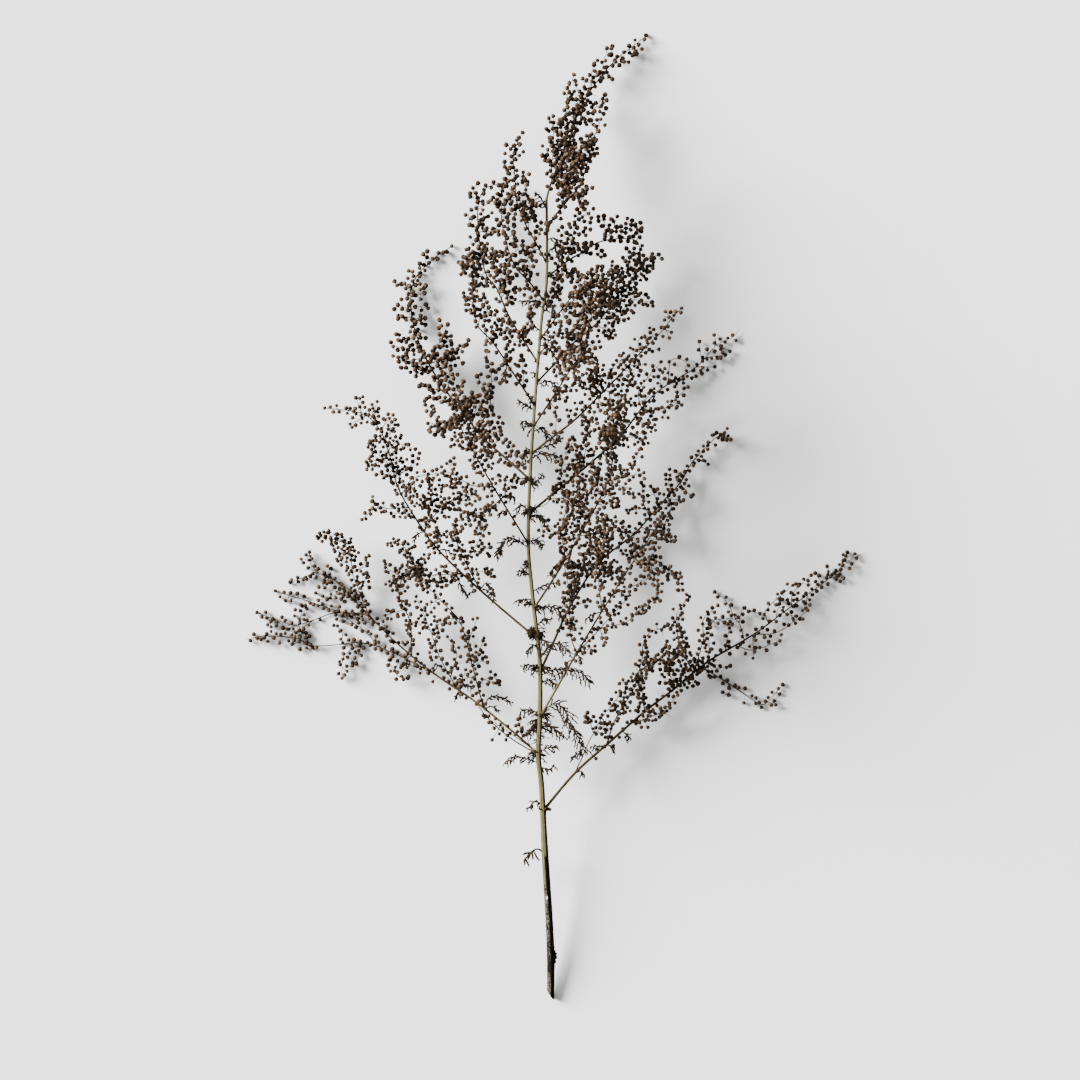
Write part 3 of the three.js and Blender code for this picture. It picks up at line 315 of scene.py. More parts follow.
    [-10, 397, -6, 410, -2, 422], [-16, 407, -21, 398], [-21, 414, -22, 408], [-23, 418, -16, 420],
    [-23, 420, -21, 426, -23, 434, -19, 443], [-21, 425, -16, 427], [-22, 429, -15, 434],
    [-29, 431, -34, 430], [-33, 437, -37, 433, -40, 427], [-33, 439, -28, 437],
    [-34, 442, -27, 443], [-34, 443, -41, 447], [-35, 451, -26, 447],
    [-37, 460, -27, 462, -26, 467], [-36, 453, -41, 457], [-37, 459, -43, 469, -42, 473],
    [-37, 469, -30, 472], [-37, 480, -41, 483, -38, 489], [-37, 475, -32, 478],
  ]),
  Spray("left_spray_7", 80, 10, 0, [
    3, 419, -5, 429, -14, 439, -19, 450, -23, 467, -23, 475, -25, 482
  ], [
    [-8, 432, -6, 439, -8, 446], [-12, 437, -9, 442], [-17, 444, -11, 454], [-17, 444, -25, 448],
    [-17, 444, -21, 438], [-20, 454, -15, 455], [-21, 457, -17, 459, -19, 465],
    [-22, 463, -17, 464], [-23, 467, -17, 468], [-23, 470, -16, 471], [-23, 474, -16, 482],
    [-24, 476, -28, 479],
  ]),
  Spray("left_spray_8", 62, 8, 0, [
    4, 444, -3, 455, -9, 466, -14, 479, -15, 493, -16, 506, -14, 513, -11, 519
  ], [
    [-6, 460, -2, 460, 0, 465], [-7, 462, -7, 471, -5, 478], [-11, 470, -6, 470],
    [0, 449, -6, 451], [-13, 478, -8, 480], [-14, 483, -8, 485, -10, 489], [-15, 485, -20, 487],
    [-15, 490, -20, 492], [-15, 493, -8, 495], [-16, 497, -20, 499], [-16, 503, -20, 507],
    [-16, 506, -11, 508], [-15, 509, -19, 512], [-15, 483, -20, 480],
  ]),
]

# The rib of each dried leaf by the stem, as x, y pairs from the stem out. Leaves are counted up
# the stem, and their names say to which side they grow.
LEAF_RIBS = [
    [3, 86, 0, 90, -5, 89, -10, 83], [2, 117, -3, 119, -6, 115],
    [-1, 142, -9, 145, -15, 146, -20, 142], [-1, 148, 4, 151, 11, 152], [0, 140, 5, 138, 9, 141],
    [0, 171, -6, 174, -12, 173], [0, 167, -5, 163, -9, 158],
    [1, 177, 9, 178, 16, 172, 17, 166, 22, 159, 27, 149], [1, 167, 7, 164, 14, 157],
    [0, 198, -6, 201, -11, 200], [0, 204, 5, 211, 11, 214, 18, 209],
    [1, 194, 8, 198, 23, 197, 31, 190], [1, 190, 6, 192, 10, 188], [-2, 224, 2, 228, 7, 228],
    [-1, 216, 3, 215, 6, 211], [-1, 214, -5, 212, -8, 208], [-4, 236, -9, 240, -14, 239],
    [-3, 233, 4, 236, 11, 234, 14, 228], [-4, 245, 3, 249, 10, 250], [-6, 253, -9, 257, -14, 257],
    [-7, 271, -14, 276, -21, 276, -26, 266], [-7, 275, -2, 276, 2, 272],
    [-6, 289, -1, 291, 3, 287], [-6, 293, -11, 297, -15, 294], [-6, 309, -1, 312, 2, 316],
    [-5, 326, -9, 330, -9, 323], [-5, 325, 2, 328, 10, 326], [-4, 343, -9, 347, -12, 345],
    [-4, 341, 2, 343, 6, 336], [-3, 354, -9, 357, -13, 360], [-2, 369, 4, 371, 9, 369, 11, 363],
    [0, 393, 5, 391, 9, 385], [0, 401, -4, 404, -8, 401], [2, 415, -5, 419, -12, 419],
    [2, 412, 7, 417, 9, 411], [4, 456, 9, 457, 10, 453, 7, 449], [4, 474, 0, 482, -3, 484],
]
LEAVES = []
for rib in LEAF_RIBS:
    leaf_side = "left" if rib[-2] < rib[0] else "right"
    LEAVES.append((f"leaf_{len(LEAVES) + 1:02d}_{leaf_side}", rib))


# Seeded draws between 0 and 1, the same on every run and as in the frame's own solids
SEED_SCALE = 7919
SEED_START = 12345
MULTIPLIER = 16807
MODULUS = 2147483647


def draws_from(seed):
    state = seed * SEED_SCALE + SEED_START
    while True:
        state = state * MULTIPLIER % MODULUS
        yield state / MODULUS


def pairs(flat):
    return np.array(flat, float).reshape(-1, 2)


def lengths_of(points):
    steps = np.linalg.norm(np.diff(points, axis=0), axis=1)
    return np.concatenate([[0.0], np.cumsum(steps)])


def unit(vector):
    return vector / max(np.linalg.norm(vector), TINY)


def along(points, lengths, length):
    i = min(max(int(np.searchsorted(lengths, length)), 1), len(points) - 1)
    span = max(lengths[i] - lengths[i - 1], TINY)
    share = (length - lengths[i - 1]) / span
    point = points[i - 1] + (points[i] - points[i - 1]) * share
    return point, unit(points[i] - points[i - 1])


# The one of some points that is nearest to a place, seen from above
def nearest_point(points, place):
    return points[np.linalg.norm(points[:, :2] - place, axis=1).argmin()]


# The middle of the stem and its radius at distances from the cut end
def stem_at(y):
    ys = STEM_RINGS[:, 1]
    x, height, radius = [np.interp(y, ys, STEM_RINGS[:, k]) for k in (0, 2, 3)]
    return np.stack([x, np.asarray(y, float), height], axis=-1), radius


# Small balls along every piece of wood, head and leaf, which keep one piece clear of the next
bead_points = []
bead_radii = []
bead_owners = []


def beads_on(points, radius):
    found = []
    for start, end in zip(points[:-1], points[1:]):
        steps = max(math.ceil(np.linalg.norm(end - start) / BEAD_SPACING), 1)
        share = np.linspace(0, 1, steps + 1)[:, None]
        found.append(start + (end - start) * share)
    found = np.concatenate(found)
    return found, np.full(len(found), radius)


def outside_stem(points, radii):
    middle, radius = stem_at(points[:, 1])
    free = np.linalg.norm(points - middle, axis=1) > radius + radii + FITTED_GAP
    return points[free], radii[free]


def sprig_beads(curve):
    return beads_on(curve, SPRIG_BEAD)


def leaf_beads(curve):
    return outside_stem(*beads_on(curve, LEAF_BEAD))


def claim(owner, points, radii):
    bead_points.append(points)
    bead_radii.append(radii)
    bead_owners.append(np.full(len(points), owner))


# Whether these beads keep more than the clearance to those of any other piece
def has_room(owner, points, radii, clearance):
    others = np.concatenate(bead_points)
    sizes = np.concatenate(bead_radii)
    reach = clearance + HEAD_BEAD + radii.max()
    near = np.concatenate(bead_owners) != owner
    near &= np.all(others > points.min(0) - reach, axis=1)
    near &= np.all(others < points.max(0) + reach, axis=1)
    if not near.any():
        return True
    gaps = np.linalg.norm(points[:, None] - others[near][None], axis=2)
    gaps -= radii[:, None] + sizes[near][None]
    return gaps.min() > clearance


# The branch of a spray: it leaves the stem and levels out towards the height of its tip
def branch_curve(spray):
    flat = pairs(spray.path)
    share = lengths_of(flat)
    share = 1 - (1 - share / share[-1]) ** LEVELLING
    start, _ = stem_at(flat[0, 1])
    height = np.maximum(start[2] + (spray.tip_height - start[2]) * share, LOWEST_CENTRE)
    curve = np.column_stack([flat, height])
    curve[0] = start
    return curve


# Sprigs start at least this share of a stretch away from its corners
END_SHARE = 0.02


# The point on some curves that is nearest to a place, and the number of its curve
def nearest_on(curves, place):
    best = None
    for which, curve in enumerate(curves):
        for start, end in zip(curve[:-1], curve[1:]):
            run = end[:2] - start[:2]
            share = (place - start[:2]) @ run / (run @ run)
            point = start + (end - start) * float(np.clip(share, END_SHARE, 1 - END_SHARE))
            gap = math.hypot(*(point[:2] - place))
            if best is None or gap < best[0]:
                best = (gap, point, which)
    return best[1], best[2]


# Points in the plane raised into a curve that climbs or falls by a slope from its start
def raised(start, flat, slope, rest=LOWEST_CENTRE):
    plane = np.vstack([start[:2], flat[1:]])
    lengths = lengths_of(plane)
    height = start[2] + slope * lengths * (1 - FLATTENING * lengths / lengths[-1])
    curve = np.column_stack([plane, np.maximum(height, rest)])
    curve[0] = start
    return curve


# A curve at the first of some slopes that keeps it clear of all other pieces, if one does
def clear_curve(owner, start, flat, slopes, rest, beads, room):
    for slope in slopes:
        curve = raised(start, flat, slope, rest)
        if has_room(owner, *beads(curve), room):
            return curve
    return None


def sprig_curve(owner, start, flat, draw):
    slopes = next(draw) * SPRIG_SLOPES + SPRIG_LOWEST + SPRIG_CHANGES
    rest = LOWEST_CENTRE + REST_RANGE * next(draw)
    return clear_curve(owner, start, flat, slopes, rest, sprig_beads, SPRIG_ROOM)


def leaf_curve(owner, flat, draw):
    start, _ = stem_at(flat[0, 1])
    slopes = next(draw) * LEAF_SLOPES + LEAF_LOWEST + LEAF_CHANGES
    return clear_curve(owner, start, flat, slopes, LOWEST_CENTRE, leaf_beads, LEAF_ROOM)


# The curves of a spray from its branch on, and for each the number of the curve that carries it
def place_sprigs(i, spray):
    curves = [branches[i]]
    carriers = [None]
    for k, sprig in enumerate(spray.sprigs):
        flat = pairs(sprig)
        start, which = nearest_on(curves, flat[0])
        curve = sprig_curve(i, start, flat, draws_from(DRAWS_PER_SPRAY * i + k + 1))
        if curve is not None:
            claim(i, *beads_on(curve, STALK_BEAD))
            claim(i, curve[-1:], np.array([HEAD_BEAD]))
            curves.append(curve)
            carriers.append(which)
    return curves, carriers


def place_leaf(k, rib):
    owner = LEAF_OWNER + k
    curve = leaf_curve(owner, pairs(rib), draws_from(LEAF_DRAWS + LEAF_DRAWS_STEP * k))
    claim(owner, *leaf_beads(curve))
    return curve


# The stem is placed first, then all branches, all sprigs and the leaves
for lower, upper in zip(STEM_RINGS[:-1], STEM_RINGS[1:]):
    claim(STEM_OWNER, *beads_on(np.array([lower[:3], upper[:3]]), lower[3]))
branches = [branch_curve(spray) for spray in SPRAYS]
for i, branch in enumerate(branches):
    claim(i, *outside_stem(*beads_on(branch, BRANCH_BEAD)))
placed_sprigs = [place_sprigs(i, spray) for i, spray in enumerate(SPRAYS)]
leaf_curves = [place_leaf(k, rib) for k, (name, rib) in enumerate(LEAVES)]


# A smooth curve through the points, with several steps between one point and the next
def smoothed(points, steps=5):
    ends = np.vstack([2 * points[0] - points[1], points, 2 * points[-1] - points[-2]])
    out = []
    for i in range(1, len(ends) - 2):
        before, start, end, after = ends[i - 1:i + 3]
        for share in np.arange(steps) / steps:
            curve = 2 * start + (end - before) * share
            curve = curve + (2 * before - 5 * start + 4 * end - after) * share ** 2
            curve = curve + (3 * start - before - 3 * end + after) * share ** 3
            out.append(curve / 2)
    return np.vstack([out, points[-1]])


# Small bends that dried wood has between its ends
def bent(points, size, random):
    offsets = random.normal(0, size, points.shape)
    offsets[0] = 0
    offsets[-1] = 0
    return points + offsets


# Points of a line that sets out one way and curls another way, more and more
def curling(root, way, curl, reach, count):
    share = np.linspace(0, 1, count)[:, None]
    return root + way * reach * share + curl * reach * share ** 2


# The box that the frame's own solids fill. The fine pieces stay inside it by a margin, which
# leaves room for the radius of a tube.
BOX_LOW = np.array(cad_box[0]) / MM + ORIGIN
BOX_HIGH = np.array(cad_box[1]) / MM + ORIGIN


def inside_box(point, margin):
    return bool(np.all(point > BOX_LOW + margin) and np.all(point < BOX_HIGH - margin))


def kept_inside(points, margin):
    return np.clip(points, BOX_LOW + margin, BOX_HIGH - margin)


def either_side(random):
    return 1 if random.uniform() < 0.5 else -1


# Sideways off a run, on one side or the other, and not quite level
def sideways(run, side, wobble, random):
    return unit(np.cross(unit(UP + random.normal(0, wobble, 3)), run)) * side


# Twigs and heads lean less up and down than to the sides, by this share
LEAN_UP = 0.6


# The direction that leans off a curve by some angle, at a turn about the curve
def leaning(direction, turn, lean):
    across = unit(UP - direction * direction[2])
    aside = np.cross(across, direction)
    out = aside * math.cos(turn) + across * LEAN_UP * math.sin(turn)
    return unit(direction * math.cos(lean) + unit(out) * math.sin(lean))


# The materials of a spray by number
WOOD, HEAD, LEAF = 0, 1, 2

# A pile of shells that ends up as one mesh. Every vertex carries three shares that the
# materials read: tone, a draw for each shell; age, from pale wood near the stem to dark
# wood further out, or on a head from its neck to its mouth and lowered on its side away
# from the light, where the head material paints shade at the neck and on that side; and
# edge, which marks raised rims.
SHARES = ("tone", "age_and_shade", "edge")


class Pile:
    def __init__(self):
        self.points = []
        self.corners = []
        self.sizes = []
        self.slots = []
        self.shares = []
        self.count = 0

    def add(self, points, quads, tris, slot, *shares):
        self.points.append(points)
        for faces in (quads, tris):
            self.corners.append((faces + self.count).ravel())
            self.sizes.append(np.full(len(faces), faces.shape[1]))
            self.slots.append(np.full(len(faces), slot))
        columns = np.empty((len(points), len(SHARES)))
        for k, share in enumerate(shares):
            columns[:, k] = share
        self.shares.append(columns)
        self.count += len(points)

    # The mesh of the pile. Where there is one material, all faces have it.
    def mesh(self, name, materials):
        points = (np.concatenate(self.points) - ORIGIN) * MM
        corners = np.concatenate(self.corners)
        sizes = np.concatenate(self.sizes)
        starts = np.concatenate([[0], np.cumsum(sizes)[:-1]])
        slots = np.minimum(np.concatenate(self.slots), len(materials) - 1)
        shares = np.concatenate(self.shares)
        mesh = bpy.data.meshes.new(name)
        mesh.vertices.add(len(points))
        mesh.vertices.foreach_set("co", points.astype(np.float32).ravel())
        mesh.loops.add(len(corners))
        mesh.loops.foreach_set("vertex_index", corners.astype(np.int32))
        mesh.polygons.add(len(sizes))
        mesh.polygons.foreach_set("loop_start", starts.astype(np.int32))
        mesh.polygons.foreach_set("material_index", slots.astype(np.int32))
        mesh.polygons.foreach_set("use_smooth", np.ones(len(sizes), bool))
        for k, label in enumerate(SHARES):
            attribute = mesh.attributes.new(label, "FLOAT", "POINT")
            attribute.data.foreach_set("value", shares[:, k].astype(np.float32))
        mesh.update(calc_edges=True)
        mesh.validate()
        for material in materials:
            mesh.materials.append(material)
        return mesh


# Directions to start from: one that is nearly upright, and one for curves that begin upright
UPRIGHT = np.array([0.31, 0.17, 1.0])
LEVEL = np.array([1.0, 0.2, 0.1])
STEEP = 0.9


# Two directions square to a curve at each of its points, which turn as little as they can
def frames_along(points):
    runs = np.gradient(points, axis=0)
    runs /= np.maximum(np.linalg.norm(runs, axis=1), TINY)[:, None]
    normal = LEVEL if abs(runs[0] @ unit(UPRIGHT)) > STEEP else UPRIGHT
    across = np.empty_like(points)
    for i, run in enumerate(runs):
        normal = unit(normal - run * (run @ normal))
        across[i] = normal
    return across, np.cross(across, runs)


def angles_of(sides):
    return np.arange(sides) * 2 * math.pi / sides


# Quads of a tube of rings, and the fans that close its two ends
def tube_faces(rings, sides):
    side = np.arange(sides)
    after = (side + 1) % sides
    quads = []
    for i in range(rings - 1):
        low, high = i * sides, (i + 1) * sides
        quads.append(np.column_stack([low + side, low + after, high + after, high + side]))
    foot, tip = rings * sides, rings * sides + 1
    last = (rings - 1) * sides
    fans = np.vstack([
        np.column_stack([np.full(sides, foot), after, side]),
        np.column_stack([np.full(sides, tip), last + side, last + after]),
    ])
    return np.concatenate(quads), fans


# A share that is one value, one for each ring or one for each corner, spread over all points
# of a tube
def spread(value, sides):
    value = np.asarray(value, float)
    if value.ndim == 0:
        return value
    if value.ndim == 1:
        value = np.repeat(value[:, None], sides, axis=1)
    return np.concatenate([value.ravel(), value[0, :1], value[-1, :1]])


# How many sides the tubes of the fine pieces have
STALK_SIDES = 3
BLADE_SIDES = 4
LOBE_SIDES = 5
SPRIG_SIDES = 5
RIB_SIDES = 6
BRANCH_SIDES = 8
KNOB_SIDES = 12

faces_of_tubes = {}


# A closed tube along the points. Flat tubes are blades: wide one way and thin the other.
def tube(pile, points, radii, sides, slot, tone=0.5, age_and_shade=0.5, edge=0.0, thin=1.0, relief=None):
    across, aside = frames_along(points)
    angle = angles_of(sides)
    shape = np.ones((len(points), sides)) if relief is None else relief
    reach = np.asarray(radii, float)[:, None] * shape
    rings = points[:, None]
    rings = rings + across[:, None] * (reach * np.cos(angle) * thin)[:, :, None]
    rings = rings + aside[:, None] * (reach * np.sin(angle))[:, :, None]
    key = (len(points), sides)
    if key not in faces_of_tubes:
        faces_of_tubes[key] = tube_faces(*key)
    vertices = np.vstack([rings.reshape(-1, 3), points[0], points[-1]])
    shares = [spread(value, sides) for value in (tone, age_and_shade, edge)]
    pile.add(vertices, *faces_of_tubes[key], slot, *shares)


# The outline of a flower head from its neck to its mouth: distance along the axis, radius, how
# much its bracts scallop it and whether it is a rim. Each rim stands over the next row.
HEAD_OUTLINE = [
    (-0.86, 0.52, 0, 0), (-0.42, 0.93, 0.05, 1), (0.22, 1.02, 0.06, 0), (0.7, 0.74, 0.12, 1),
    (0.82, 0.36, 0.1, 0),
]
HEAD_SIDES = 8
HEAD_NECK = -1.05
HEAD_MOUTH = 0.78
HEAD_LENGTH = 2.1
RIM_WAVE = 0.06


def head_template():
    rows = np.array(HEAD_OUTLINE)
    angle = angles_of(HEAD_SIDES)
    level, radius, scallop, rim = [rows[:, k:k + 1] for k in range(4)]
    wave = np.cos(angle[None] * HEAD_SIDES / 2 + rim * math.pi)
    radius = radius * (1 + scallop * wave)
    level = level - RIM_WAVE * wave * rim
    ring = np.stack([radius * np.cos(angle), radius * np.sin(angle), level], axis=-1)
    points = np.vstack([ring.reshape(-1, 3), [0, 0, HEAD_NECK], [0, 0, HEAD_MOUTH]])
    edge = np.repeat(rim, HEAD_SIDES, axis=1).ravel()
    return points, np.concatenate([edge, [0, 0]]), (points[:, 2] - HEAD_NECK) / HEAD_LENGTH


HEAD_POINTS, HEAD_EDGE, HEAD_LEVEL = head_template()
HEAD_FACES = tube_faces(len(HEAD_OUTLINE), HEAD_SIDES)

# The side of a head away from the light, which gets painted shade, how soon the painted
# shade sets in and how deep it goes
PAINTED_SHADE_SIDE = np.array([0.8, -0.45, -0.4])
PAINTED_SHADE_GAIN = 1.25
PAINTED_SHADE_DEPTH = 0.9
HEAD_MARGIN = 0.02


def flower_head(pile, centre, axis, radius, tone, random):
    turn = random.uniform(0, 2 * math.pi)
    side = unit(np.cross(axis, [0.3, 0.2, 0.93] if abs(axis[2]) < STEEP else [1, 0, 0]))
    other = np.cross(axis, side)
    right = side * math.cos(turn) + other * math.sin(turn)
    front = np.cross(axis, right)
    local = HEAD_POINTS * (radius * (1 + random.normal(0, 0.05, 3)))
    points = centre + local[:, :1] * right + local[:, 1:2] * front + local[:, 2:] * axis
    points = kept_inside(points, HEAD_MARGIN)
    # Painted shade: the side of the head away from the light is darkened through its age share
    shade = np.clip((points - centre) @ PAINTED_SHADE_SIDE / radius * PAINTED_SHADE_GAIN, 0, 1)
    level = HEAD_LEVEL * (1 - PAINTED_SHADE_DEPTH * shade)
    pile.add(points, *HEAD_FACES, HEAD, tone, level, HEAD_EDGE)


# Head centres in cells, so that no two heads run into each other. Distances between heads,
# from the floor and the stem, and from the box are in radii of a head.
HEAD_CELL = 2.6
HEADS_APART = 1.95
HEAD_ROOM = 1.1
HEAD_BOX_ROOM = 1.12
STEPS = (-1, 0, 1)
NEIGHBOURS = [np.array([dx, dy, dz]) for dx in STEPS for dy in STEPS for dz in STEPS]
head_cells = {}


def cell_of(centre):
    return np.floor(centre / HEAD_CELL).astype(int)


def head_fits(centre, radius):
    if centre[2] < HEAD_ROOM * radius or not inside_box(centre, radius * HEAD_BOX_ROOM):
        return False
    middle, thickness = stem_at(centre[1])
    gap = np.linalg.norm(centre - middle)
    if gap < thickness + HEAD_ROOM * radius and centre[1] < STEM_TOP:
        return False
    cell = cell_of(centre)
    for step in NEIGHBOURS:
        for other in head_cells.get(tuple(cell + step), ()):
            if np.linalg.norm(other - centre) < HEADS_APART * radius:
                return False
    return True


# The way that heads hang, and how much their stalks sag that way
NODDING = np.array([0.1, -0.85, -0.35])
SAG = 0.18


# A thin curved stalk with a nodding head on its end, where there is room for the head
def nodding_head(pile, root, direction, reach, size, random):
    radius = size * random.uniform(0.84, 1.1)
    sag = NODDING * reach * SAG
    centre = root + direction * (reach + radius) + sag
    if not head_fits(centre, radius):
        return False
    head_cells.setdefault(tuple(cell_of(centre)), []).append(centre)
    lean = NODDING * random.uniform(0.0, 0.8) + random.normal(0, 0.2, 3)
    axis = unit(unit(centre - root) + lean)
    neck = centre - axis * radius * 0.93
    middle = (root + neck) / 2 - sag * 0.5
    line = np.array([root, middle, (neck + middle) / 2, neck])
    radii = [STALK, STALK * 0.9, STALK, STALK * 1.6]
    tube(pile, line, radii, STALK_SIDES, WOOD, random.uniform(0, 1), random.uniform(0.3, 1.0))
    flower_head(pile, centre, axis, radius, random.uniform(0, 1), random)
    return True


# A narrow bract leaf that stands off the wood and curls
def bract(pile, root, direction, reach, random, width):
    curl = random.normal(0, 0.45, 3) + np.array([0, -0.3, -0.1])
    line = kept_inside(curling(root, direction, curl, reach, 4), 0.4)
    radii = width * np.array([0.8, 1.0, 1.0, 0.6])
    tube(pile, line, radii, BLADE_SIDES, LEAF, tone=random.uniform(0, 1), age_and_shade=0.8, thin=0.7)


# Places where the heads crowd, or where they are few if the last number is below nought:
# x, y, reach and by how much. Where they are BARE there are none.
BARE = -9
CROWDED = [
    (-122.5, 211.8, 2.8, BARE), (-130, 211, 2.8, BARE), (-128, 230.5, 2.8, BARE),
    (-136, 228, 2.8, BARE), (18, 500, 20, 1), (21, 530, 15, 0.7), (34, 556, 14, -0.1),
    (36, 420, 17, 0.95), (51, 438, 13, 0.8), (-60, 380, 13, 1.6), (-50, 350, 14, 0.8),
    (-76, 424, 11, 0.7), (-37, 444, 13, 1.4), (-20, 428, 8, 0.5), (-15, 486, 10, 1.0),
    (36, 372, 15, 1.1), (41, 334, 9, 0.9), (36, 310, 16, 0.6), (30, 262, 20, 1.2),
    (72, 300, 14, 0.2), (66, 264, 14, 0.65), (80, 202, 12, 2.2), (90, 216, 13, 0.35),
    (52, 186, 12, 0.1), (90, 188, 10, 0.8), (-34, 498, 16, -0.7), (82, 388, 20, -0.8),
    (-76, 260, 16, 1.6), (-60, 216, 15, -0.3), (-112, 262, 16, 1.1), (-142, 224, 14, 0.5),
    (-62, 296, 18, 1.65), (-100, 332, 16, 0.8), (18, 302, 15, 0.9), (104, 330, 14, 0.6),
    (60, 176, 14, 0.8), (36, 228, 14, -0.3), (20, 440, 15, 1.6), (-52, 264, 13, 0.6),
    (-22, 300, 13, 0.35), (-22, 378, 12, -0.35), (64, 340, 12, 0.6), (100, 378, 18, -0.4),
    (144, 216, 20, -0.8), (52, 576, 16, 0.3), (116, 236, 24, -0.6), (116, 198, 18, -0.8),
    (-38, 232, 14, -0.3), (8, 352, 12, -0.6), (4, 387, 15, 0.8), (50, 346, 11, 1.2),
    (-36, 468, 14, -0.35), (2, 466, 16, 1.2), (4, 428, 17, 1.8), (-34, 348, 13, 0.8),
    (-80, 352, 15, -0.6), (10, 276, 14, 0.5), (4, 506, 13, 1.2), (-78, 462, 20, -0.9),
]
FEWEST = -0.75
MOST = 2.2
NONE_BELOW = -2


def crowding(point):
    more = 0.0
    for x, y, reach, strength in CROWDED:
        gap = math.hypot(point[0] - x, point[1] - y) / reach
        more += strength * math.exp(-gap * gap)
    if more < NONE_BELOW:
        return 0.0
    return 1.0 + min(max(more, FEWEST), MOST)


# A twig's heads keep away from its end, by a share of their size, and from its root. They
# stand closer than along a branch, and a head that finds no room turns on and tries again.
TWIG_END = 1.1
TWIG_ROOT = 0.7
TWIG_SPACING = 0.8
TWIG_TRIES = 3
TWIG_TURN = 2.1


# A short side twig with heads on both sides and one on its end
def raceme(pile, root, way, reach, habit, random):
    bend = NODDING * random.uniform(0.05, 0.25) + random.normal(0, 0.1, 3)
    line = kept_inside(curling(root, way, bend, reach, 5), 0.3)
    run = unit(line[-1] - line[-2])
    if not nodding_head(pile, line[-1], run, 0.05, habit.size, random):
        return False
    radii = np.linspace(SPRIG_TIP, STALK, len(line))
    tube(pile, line, radii, STALK_SIDES, WOOD, age_and_shade=random.uniform(0.4, 0.9))
    lengths = lengths_of(line)
    length = lengths[-1] - TWIG_END * habit.size
    turn = random.uniform(0, FULL_TURN)
    while length > TWIG_ROOT:
        point, direction = along(line, lengths, length)
        for attempt in range(TWIG_TRIES):
            side = leaning(direction, turn, random.uniform(0.8, 1.3))
            stalk = habit.stalk * random.uniform(0.1, 0.9)
            if nodding_head(pile, point, side, stalk, habit.size, random):
                break
            turn += TWIG_TURN
        length -= TWIG_SPACING * habit.spacing * habit.size * random.uniform(0.85, 1.2)
        turn += NEXT_TURN
    return True


# How likely a twig is where the crowding is loose, and how much likelier where it is denser
LOOSE = 0.7
TWIG_CHANCE = 0.06
TWIG_GAIN = 0.2


# A head or a short twig at a point of a curve
def head_or_twig(pile, point, direction, turn, crowd, habit, random):
    if random.uniform() < TWIG_CHANCE + TWIG_GAIN * (crowd - LOOSE):
        way = leaning(direction, turn, random.uniform(0.5, 0.95))
        return raceme(pile, point, way, random.uniform(2.4, 3.6 + 2.0 * crowd), habit, random)
    way = leaning(direction, turn, random.uniform(0.75, 1.35))
    reach = habit.stalk * abs(random.normal(0.2, 0.7))
    return nodding_head(pile, point, way, reach, habit.size, random)


# How likely a bract is, how much further apart heads stand where they are sparse, how far a
# bare place is passed at a time, and what a head that finds no room does
BRACT_CHANCE = 0.35
SPARSE_STEP = 2.2
BARE_STEP = 1.0
TRIES = 4
OTHER_TURN = 1.9


# Heads, short twigs and bracts along a curve, further apart up to where it is sparse
def dress_curve(pile, curve, begin, finish, habit, random, sparse):
    lengths = lengths_of(curve)
    turn = random.uniform(0, FULL_TURN)
    length = begin
    while length < finish:
        point, direction = along(curve, lengths, length)
        crowd = crowding(point)
        if crowd == 0:
            length += BARE_STEP
            continue
        for attempt in range(TRIES):
            if head_or_twig(pile, point, direction, turn, crowd, habit, random):
                break
            turn += OTHER_TURN
        if random.uniform() < BRACT_CHANCE:
            way = leaning(direction, turn + random.normal(0, 0.4), 0.8)
            bract(pile, point, way, random.uniform(1.2, 2.8), random, width=0.2)
        step = (SPARSE_STEP if length < sparse else 1.0) * habit.spacing * habit.size
        length += step * random.uniform(0.7, 1.3) / crowd ** 0.5
        turn += NEXT_TURN


# Half the width of a leaf's lobes
LOBE_WIDTH = 0.4


# A thin piece of a leaf, whose widths are given as shares of a lobe's
def leaf_blade(pile, line, widths, sides, tone):
    tube(pile, line, LOBE_WIDTH * np.array(widths), sides, LEAF, tone=tone, age_and_shade=0.9, thin=0.8)


def leaf_rib(pile, curve, radii):
    tube(pile, kept_inside(curve, 0.5), radii, RIB_SIDES, LEAF, tone=0.4, age_and_shade=0.7, thin=0.75)


# A row of short spurs along a line, on one side and then the other
def spurs(pile, line, begin, tone, random, spacing, shortest, longest):
    lengths = lengths_of(line)
    side = either_side(random)
    length = begin
    while length < lengths[-1]:
        point, run = along(line, lengths, length)
        aside = sideways(run, side, 0.5, random)
        way = unit(run + aside * random.uniform(0.5, 1.0))
        curl = random.normal(0, 0.3, 3) + np.array([0, -0.45, -0.15])
        size = random.uniform(shortest, longest)
        size *= 1 - 0.45 * length / lengths[-1]
        spur = kept_inside(curling(point, way, curl, size, 4), 0.35)
        leaf_blade(pile, spur, [0.7, 0.95, 0.95, 0.75], BLADE_SIDES, tone)
        side = -side
        length += spacing * random.uniform(0.75, 1.3)


# A leaf lobe that droops, with spurs on it
def lobe(pile, root, way, reach, random):
    droop = np.array([0.0, -0.7, -0.2]) + random.normal(0, 0.25, 3)
    line = curling(root, way, droop * 0.6, reach, 6)
    line = kept_inside(bent(line, 0.08, random), 0.4)
    tone = random.uniform(0, 1)
    leaf_blade(pile, line, [0.8, 1.05, 1.1, 1.1, 1.05, 0.8], LOBE_SIDES, tone)
    spurs(pile, line, 0.3 * reach, tone, random, spacing=1.7, shortest=0.9, longest=2.4)


